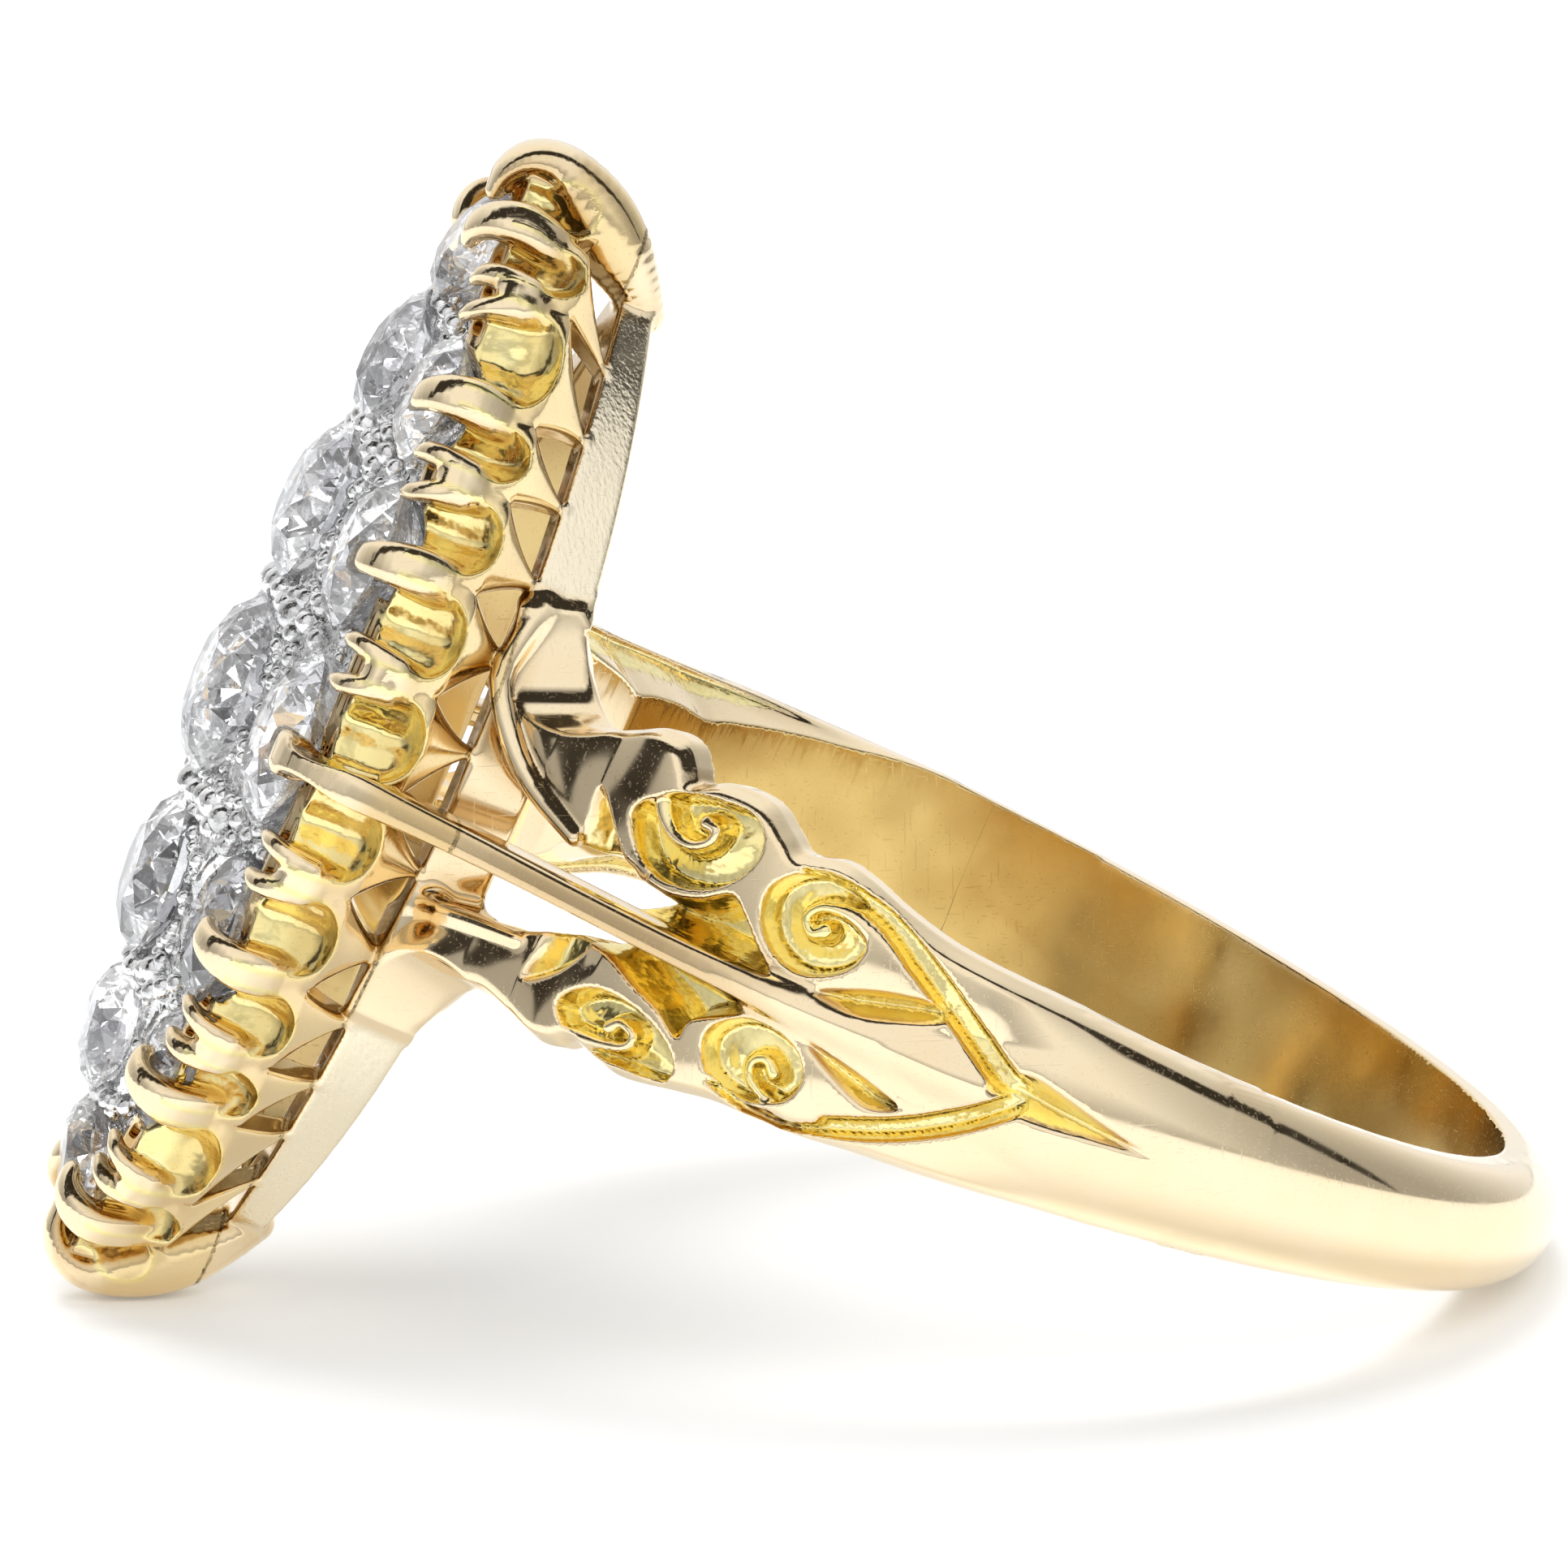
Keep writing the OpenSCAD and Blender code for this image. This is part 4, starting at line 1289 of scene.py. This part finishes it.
def bead_tree(material):
    """Geometry nodes that set a worn bead on every point of a cloud, and the identifiers of their inputs."""
    tree = bpy.data.node_groups.new("silver_beads", "GeometryNodeTree")
    kit = Nodes(tree)
    kit.socket("Geometry", "Geometry", "OUTPUT")
    sockets = {name: kit.socket(name, kind) for name, kind in (
        ("Geometry", "Geometry"), ("Bead Radius", "Float"), ("Dent Depth", "Float"), ("Fineness", "Int"),
        ("Seed", "Int"))}
    start = kit.node("NodeGroupInput").outputs
    bead = kit.node("GeometryNodeMeshIcoSphere", {
        "Subdivisions": start["Fineness"], "Radius": start["Bead Radius"]})
    # Dents all over a bead, pushed along its normals.
    dents = kit.node("ShaderNodeTexNoise", {"Scale": 7000}).outputs["Fac"]
    depth = kit.math("MULTIPLY", kit.math("SUBTRACT", dents, 0.5), start["Dent Depth"])
    normal = kit.node("GeometryNodeInputNormal").outputs["Normal"]
    push = kit.node("ShaderNodeVectorMath", {0: normal, "Scale": depth}, operation="SCALE")
    wear_and_shade = kit.node("GeometryNodeSetPosition", {
        "Geometry": bead.outputs["Mesh"], "Offset": push.outputs["Vector"]})
    size = kit.node("GeometryNodeInputNamedAttribute", {"Name": "bead_size"}, data_type="FLOAT")
    turn = kit.node("FunctionNodeRandomValue", {
        0: (0, 0, 0), 1: (6.28, 6.28, 6.28), "Seed": start["Seed"]}, data_type="FLOAT_VECTOR")
    place = kit.node("GeometryNodeInstanceOnPoints", {
        "Points": start["Geometry"], "Instance": wear_and_shade.outputs["Geometry"],
        "Rotation": turn.outputs["Value"], "Scale": size.outputs["Attribute"]})
    real = kit.node("GeometryNodeRealizeInstances", {"Geometry": place.outputs["Instances"]})
    smooth = kit.node("GeometryNodeSetShadeSmooth", {"Geometry": real.outputs["Geometry"]})
    look = kit.node("GeometryNodeSetMaterial", {
        "Geometry": smooth.outputs["Geometry"], "Material": material})
    kit.node("NodeGroupOutput", {"Geometry": look.outputs["Geometry"]})
    return tree, sockets


def bead_piece(name, tree, sockets, grains, fineness, seed):
    """One object of grains, each set a little into the silver's face."""
    points = []
    for u, t, r in grains:
        top, _ = silver_top(np.array([t]), np.array([u]))
        points.append((top[0] + r * 0.25, t, u))
    cloud = bpy.data.meshes.new(name + "_places")
    cloud.from_pydata(lie_down(np.array(points)).tolist(), [], [])
    set_field(cloud, "bead_size", [r / BEAD_R for _, _, r in grains])
    holder = place_object(name + "_places", cloud)
    modifier = holder.modifiers.new("beads", "NODES")
    modifier.node_group = tree
    modifier[sockets["Bead Radius"]] = BEAD_R * MM
    modifier[sockets["Dent Depth"]] = DENT_DEPTH * MM
    modifier[sockets["Fineness"]] = fineness
    modifier[sockets["Seed"]] = seed
    mesh = finished_mesh(holder)
    mesh.name = name
    bpy.data.objects.remove(holder)
    return place_object(name, mesh)


# Materials.

def new_material(name):
    material = bpy.data.materials.new(name)
    material.use_nodes = True
    material.node_tree.nodes.clear()
    kit = Nodes(material.node_tree)
    shader = kit.node("ShaderNodeBsdfPrincipled")
    kit.node("ShaderNodeOutputMaterial", {"Surface": shader.outputs["BSDF"]})
    return material, shader, kit


# Scratches run three ways. Columns: turn, stretch.
SCRATCHES = [
    ((0.3, 0.5, 0.2), (900, 26000, 26000)), ((1.2, -0.4, 0.9), (26000, 1100, 26000)),
    ((-0.6, 0.9, 2.0), (24000, 24000, 1000)),
]


def fine_scratches():
    """A node group: thin crossed scratches from wear and polishing."""
    group = bpy.data.node_groups.new("fine_scratches", "ShaderNodeTree")
    kit = Nodes(group)
    kit.socket("Vector", "Vector")
    kit.socket("Density", "Float")
    kit.socket("Mask", "Float", "OUTPUT")
    start = kit.node("NodeGroupInput").outputs
    level = kit.math("SUBTRACT", 0.80, start["Density"])
    lines = []
    for turn, stretch in SCRATCHES:
        grain = kit.noise(kit.stretched(start["Vector"], turn, stretch), 1.0, 0.0)
        lines.append(kit.math("GREATER_THAN", grain, level))
    crossed = kit.math("MAXIMUM", kit.math("MAXIMUM", lines[0], lines[1]), lines[2])
    kit.node("NodeGroupOutput", {"Mask": crossed})
    return group


# The gold's colours. Where there are two, a noise mixes them.
POLISHED = (0.96, 0.77, 0.49, 1), (0.96, 0.82, 0.58, 1)
# The carving's deeper, brighter yellow is painted warm light bounced about in the recesses.
CARVED_BOUNCE_LIT = (1.0, 0.81, 0.31, 1), (1.0, 0.92, 0.50, 1)
# The darker inside's colours, which also paint the shade under the head and in the gallery.
INSIDE_DARKER_AND_SHADED = (0.54, 0.34, 0.10, 1), (0.88, 0.66, 0.26, 1)
# The brushed rail's pale cream is a painted sheen.
BRUSHED_PAINTED_SHEEN = (1.0, 0.93, 0.74, 1)
# A dark brown that is painted into the crevices as shade.
PAINTED_CREVICE_SHADE = (0.50, 0.29, 0.07, 1)


def gold(scratches):
    """Polished yellow gold, matt in its carving and brushed on the rail, with painted light: bounce light in
    the carving's deeper yellow, a sheen on the brushed rail, and shade in crevices, under the head and in the
    gallery.
    """
    material, shader, kit = new_material("carved_gold")
    place = kit.place()
    recess = kit.field("recess")
    brushed = kit.field("brushed")
    inner = kit.field("inner")
    polished = kit.mix(kit.noise(place, 900, 1), *POLISHED)
    # The carving's colour, with its painted bounce light.
    carved = kit.mix(kit.noise(place, 2500, 1), *CARVED_BOUNCE_LIT)
    # A darker, blotched tone for the inside, and painted shade under the head and in the gallery.
    wear_and_shade = kit.mix(kit.span(kit.noise(place, 260, 2), 0.42, 0.62, 0, 1), *INSIDE_DARKER_AND_SHADED)
    # Painted sheen: the brushed rail is mixed toward pale cream.
    outer = kit.mix(kit.math("MULTIPLY", brushed, 0.7), polished, BRUSHED_PAINTED_SHEEN)
    tone = kit.mix(inner, kit.mix(recess, outer, carved), wear_and_shade)
    # Painted shade: the colour turns dark brown where other metal stands close in front of the surface.
    deep = kit.span(kit.field("painted_crevice_shade"), 0.12, 0.75, 0, 0.8)
    worn_lines = kit.node("ShaderNodeGroup", {"Vector": place, "Density": 0.03},
                          node_tree=scratches).outputs["Mask"]
    rough = kit.span(kit.noise(place, 1500, 1), 0.3, 0.7, 0.05, 0.13)
    for amount, mask in ((0.06, recess), (0.13, brushed), (0.08, inner), (0.10, worn_lines)):
        rough = kit.math("ADD", rough, kit.math("MULTIPLY", mask, amount))
    # Brushing along the rail, tool marks in the carving and the scratches.
    stroke = kit.stretched(place, (0, -LEAN, 0), (16000, 16000, 1400))
    strokes = kit.math("MULTIPLY", kit.noise(stroke, 1.0, 1), brushed)
    marks = kit.math("MULTIPLY", kit.noise(place, 5200, 1), recess)
    height = kit.math("ADD", kit.math("MULTIPLY", strokes, 0.7), marks)
    height = kit.math("SUBTRACT", height, kit.math("MULTIPLY", worn_lines, 0.12))
    kit.fill(shader, {
        "Base Color": kit.mix(deep, tone, PAINTED_CREVICE_SHADE), "Metallic": 1.0, "Roughness": rough,
        "Normal": kit.bump(height, 0.5, 0.03)})
    return material


def silver(scratches):
    """Old silver: bright where it is rubbed, grey and rough between."""
    material, shader, kit = new_material("old_silver")
    place = kit.place()
    rubbed = kit.span(kit.noise(place, 2600, 2), 0.35, 0.65, 0, 1)
    lines = kit.node("ShaderNodeGroup", {"Vector": place, "Density": 0.10},
                     node_tree=scratches).outputs["Mask"]
    rough = kit.math("ADD", kit.span(rubbed, 0, 1, 0.22, 0.07), kit.math("MULTIPLY", lines, 0.12))
    height = kit.math("ADD", kit.noise(place, 5500, 2), kit.math("MULTIPLY", lines, 0.2))
    kit.fill(shader, {
        "Base Color": kit.mix(rubbed, (0.66, 0.66, 0.66, 1), (0.99, 0.99, 0.99, 1)), "Metallic": 1.0,
        "Roughness": rough, "Normal": kit.bump(height, 0.7, 0.05)})
    return material


def diamond():
    """Old-cut diamond: clear, with faint clouds, painted glints that glow in some facets, and painted dark
    facets that stand in for dark reflections.
    """
    material, shader, kit = new_material("old_cut_diamond")
    place = kit.place()
    facets = kit.node("ShaderNodeTexVoronoi", {"Vector": place, "Scale": 1350}, distance="CHEBYCHEV")
    parts = kit.node("ShaderNodeSeparateColor", {"Color": facets.outputs["Color"]}).outputs
    cloud = kit.span(kit.noise(place, 1400, 2), 0.35, 0.7, 0, 1)
    clear = kit.mix(cloud, (1.0, 1.0, 1.0, 1), (0.90, 0.90, 0.93, 1))
    # Painted dark reflections: some facets get a dark grey colour.
    painted_dark_facet = kit.span(parts["Green"], 0.58, 0.66, 0, 1)
    # Painted glints: the stone glows white in some facets and faintly everywhere else.
    painted_glint = kit.span(parts["Red"], 0.30, 0.95, 0, 1)
    painted_glint = kit.math("MULTIPLY", painted_glint, kit.span(painted_dark_facet, 0, 1, 1.0, 0.15))
    kit.fill(shader, {
        "Base Color": kit.mix(painted_dark_facet, clear, (0.30, 0.30, 0.32, 1)),
        "Emission Color": kit.mix(painted_glint, (0.05, 0.05, 0.05, 1), (1.0, 1.0, 1.0, 1)),
        "Roughness": kit.span(kit.noise(place, 6000, 2), 0.6, 0.8, 0.0, 0.04),
        "Emission Strength": 0.20, "IOR": 2.3, "Transmission Weight": 1.0})
    return material


# Stage, light and camera.

def pale_floor(half=0.6):
    """A sheet of pale paper under the ring."""
    mesh = bpy.data.meshes.new("floor")
    mesh.from_pydata([(-half, -half, 0), (half, -half, 0), (half, half, 0), (-half, half, 0)], [],
                     [(0, 1, 2, 3)])
    floor = place_object("floor", mesh)
    material, shader, kit = new_material("pale_floor")
    tone = kit.mix(kit.noise(kit.place(), 60, 2), (0.93, 0.93, 0.93, 1), (0.95, 0.95, 0.95, 1))
    # The paper shines through a little, which keeps the shadows pale and neutral.
    kit.fill(shader, {
        "Base Color": tone, "Roughness": 0.7, "Emission Color": (0.80, 0.90, 1.0, 1),
        "Emission Strength": 0.17})
    mesh.materials.append(material)


def soft_light(name, place, size, power):
    """A lamp that lights the floor and the stones but is not mirrored in the gold."""
    light = bpy.data.lights.new(name, "AREA")
    light.shape = "SQUARE"
    light.size = size
    light.energy = power
    lamp = place_object(name, light)
    lamp.location = place
    lamp.rotation_euler = (-Vector(place)).to_track_quat("-Z", "Y").to_euler()
    lamp.visible_glossy = False


def studio():
    """A white tent with a dark gap overhead and a dim room low behind the camera."""
    bpy.context.scene.view_settings.view_transform = "Standard"
    world = bpy.data.worlds.new("studio")
    world.use_nodes = True
    bpy.context.scene.world = world
    kit = Nodes(world.node_tree)
    place = kit.node("ShaderNodeTexCoord").outputs["Generated"]
    parts = kit.node("ShaderNodeSeparateXYZ", {"Vector": place}).outputs
    # Angle over the ring from the front horizon: 90 degrees is straight up and 180 the back horizon.
    forward = kit.math("MULTIPLY", parts["Y"], -1.0)
    over = kit.math("MULTIPLY", kit.math("ARCTAN2", parts["Z"], forward), 180 / math.pi)
    wobble = kit.span(kit.noise(place, 3.0, 2), 0, 1, -9, 9)
    gap_middle = 84.0
    from_gap = kit.math("ABSOLUTE", kit.math("SUBTRACT", kit.math("ADD", over, wobble), gap_middle))
    # The dark gap, the dimmer ends of the tent and the dim room behind the camera.
    gap = kit.span(from_gap, 12, 22, 1, 0)
    side = kit.span(kit.math("ABSOLUTE", parts["X"]), 0.45, 0.95, 0, 0.6)
    low = kit.span(over, -4, 18, 0.62, 0)
    dim = kit.math("MAXIMUM", kit.math("MAXIMUM", gap, side), low)
    kit.fill(world.node_tree.nodes["Background"], {
        "Color": kit.mix(dim, (1.0, 1.0, 1.0, 1), (0.04, 0.035, 0.03, 1)), "Strength": 0.98})
    soft_light("key", (-0.04, 0.10, 0.30), 0.20, 0.50)
    soft_light("fill", (0.05, -0.25, 0.25), 0.24, 0.36)


def place_camera():
    """The photograph's view: azimuth -7.2 and elevation 12.4 degrees, 200 mm away."""
    azimuth, elevation = math.radians(-7.16), math.radians(12.43)
    distance = 200
    pixels_per_mm = 75.56
    sensor = 36
    back = Vector((math.sin(azimuth) * math.cos(elevation), -math.cos(azimuth) * math.cos(elevation),
                   math.sin(elevation)))
    turned = (-back).to_track_quat("-Z", "Y").to_matrix().to_4x4()
    turned.translation = Vector((-3.49, 0, 3.49)) + back * distance
    # The view was measured on a ring that leaned by this much, so it turns on with the ring to its rest.
    measured_lean = math.radians(23.37)
    turned = Matrix.Translation((SHIFT_X, 0, LIFT)) @ Matrix.Rotation(LEAN - measured_lean, 4, "Y") @ turned
    turned.translation = turned.translation * MM
    camera_data = bpy.data.cameras.new("camera")
    camera_data.sensor_width = sensor
    camera_data.lens = sensor * pixels_per_mm * distance / PHOTO_SIZE
    camera_data.clip_start = 0.01
    camera_data.clip_end = 10
    camera = place_object("camera", camera_data)
    camera.matrix_world = turned
    bpy.context.scene.camera = camera


# Blocks that the gold is divided into, which lap over each other a little at their joints. Columns: name,
# low corner, high corner, most faces.
LAP = 0.15
SHANK_JOINT = -0.6
GALLERY_JOINT = 10.25
BLOCKS = [
    ("shank", (-11, -11, -4), (SHANK_JOINT, 11, 4), 40000),
    ("near_shoulder", (SHANK_JOINT - LAP, -LAP, -9.5), (GALLERY_JOINT + LAP, 11, 9.5), 190000),
    ("far_shoulder", (SHANK_JOINT - LAP, -11, -9.5), (GALLERY_JOINT + LAP, LAP, 9.5), 145000),
    ("near_gallery", (GALLERY_JOINT, -LAP, -11), (14, 7, 11), 190000),
    ("far_gallery", (GALLERY_JOINT, -7, -11), (14, LAP, 11), 100000),
]
PLATE_FACES = 90000


def main():
    """Sets the stage, casts the metal and gives every piece its look and its place in the ring."""
    place_camera()
    studio()
    pale_floor()
    scratches = fine_scratches()
    gold_look = gold(scratches)
    silver_look = silver(scratches)
    stone_look = diamond()
    shoulder = Shoulder()
    whole = cast_gold(shoulder)
    for name, low, high, most in BLOCKS:
        piece = metal_piece(name, whole.section(low, high), whole, most)
        finish_gold(piece, shoulder, whole)
        if name == "far_shoulder":
            narrow_far(piece.data)
        piece.data.materials.append(gold_look)
        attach(piece, "root")
        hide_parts("gold_mount")
    plate = cast_silver()
    setting = metal_piece("silver_plate", plate, plate, PLATE_FACES)
    setting.data.materials.append(silver_look)
    tree, sockets = bead_tree(silver_look)
    large, small = grain_places(np.random.default_rng(GRAIN_SEED))
    beads = bead_piece("large_grains", tree, sockets, large, fineness=3, seed=5)
    grit = bead_piece("small_grains", tree, sockets, small, fineness=2, seed=9)
    for piece in (setting, beads, grit):
        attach(piece, "root")
        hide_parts("silver_setting")
    for name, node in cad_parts.items():
        if name.startswith("stone_"):
            node.data.materials.clear()
            node.data.materials.append(stone_look)


main()
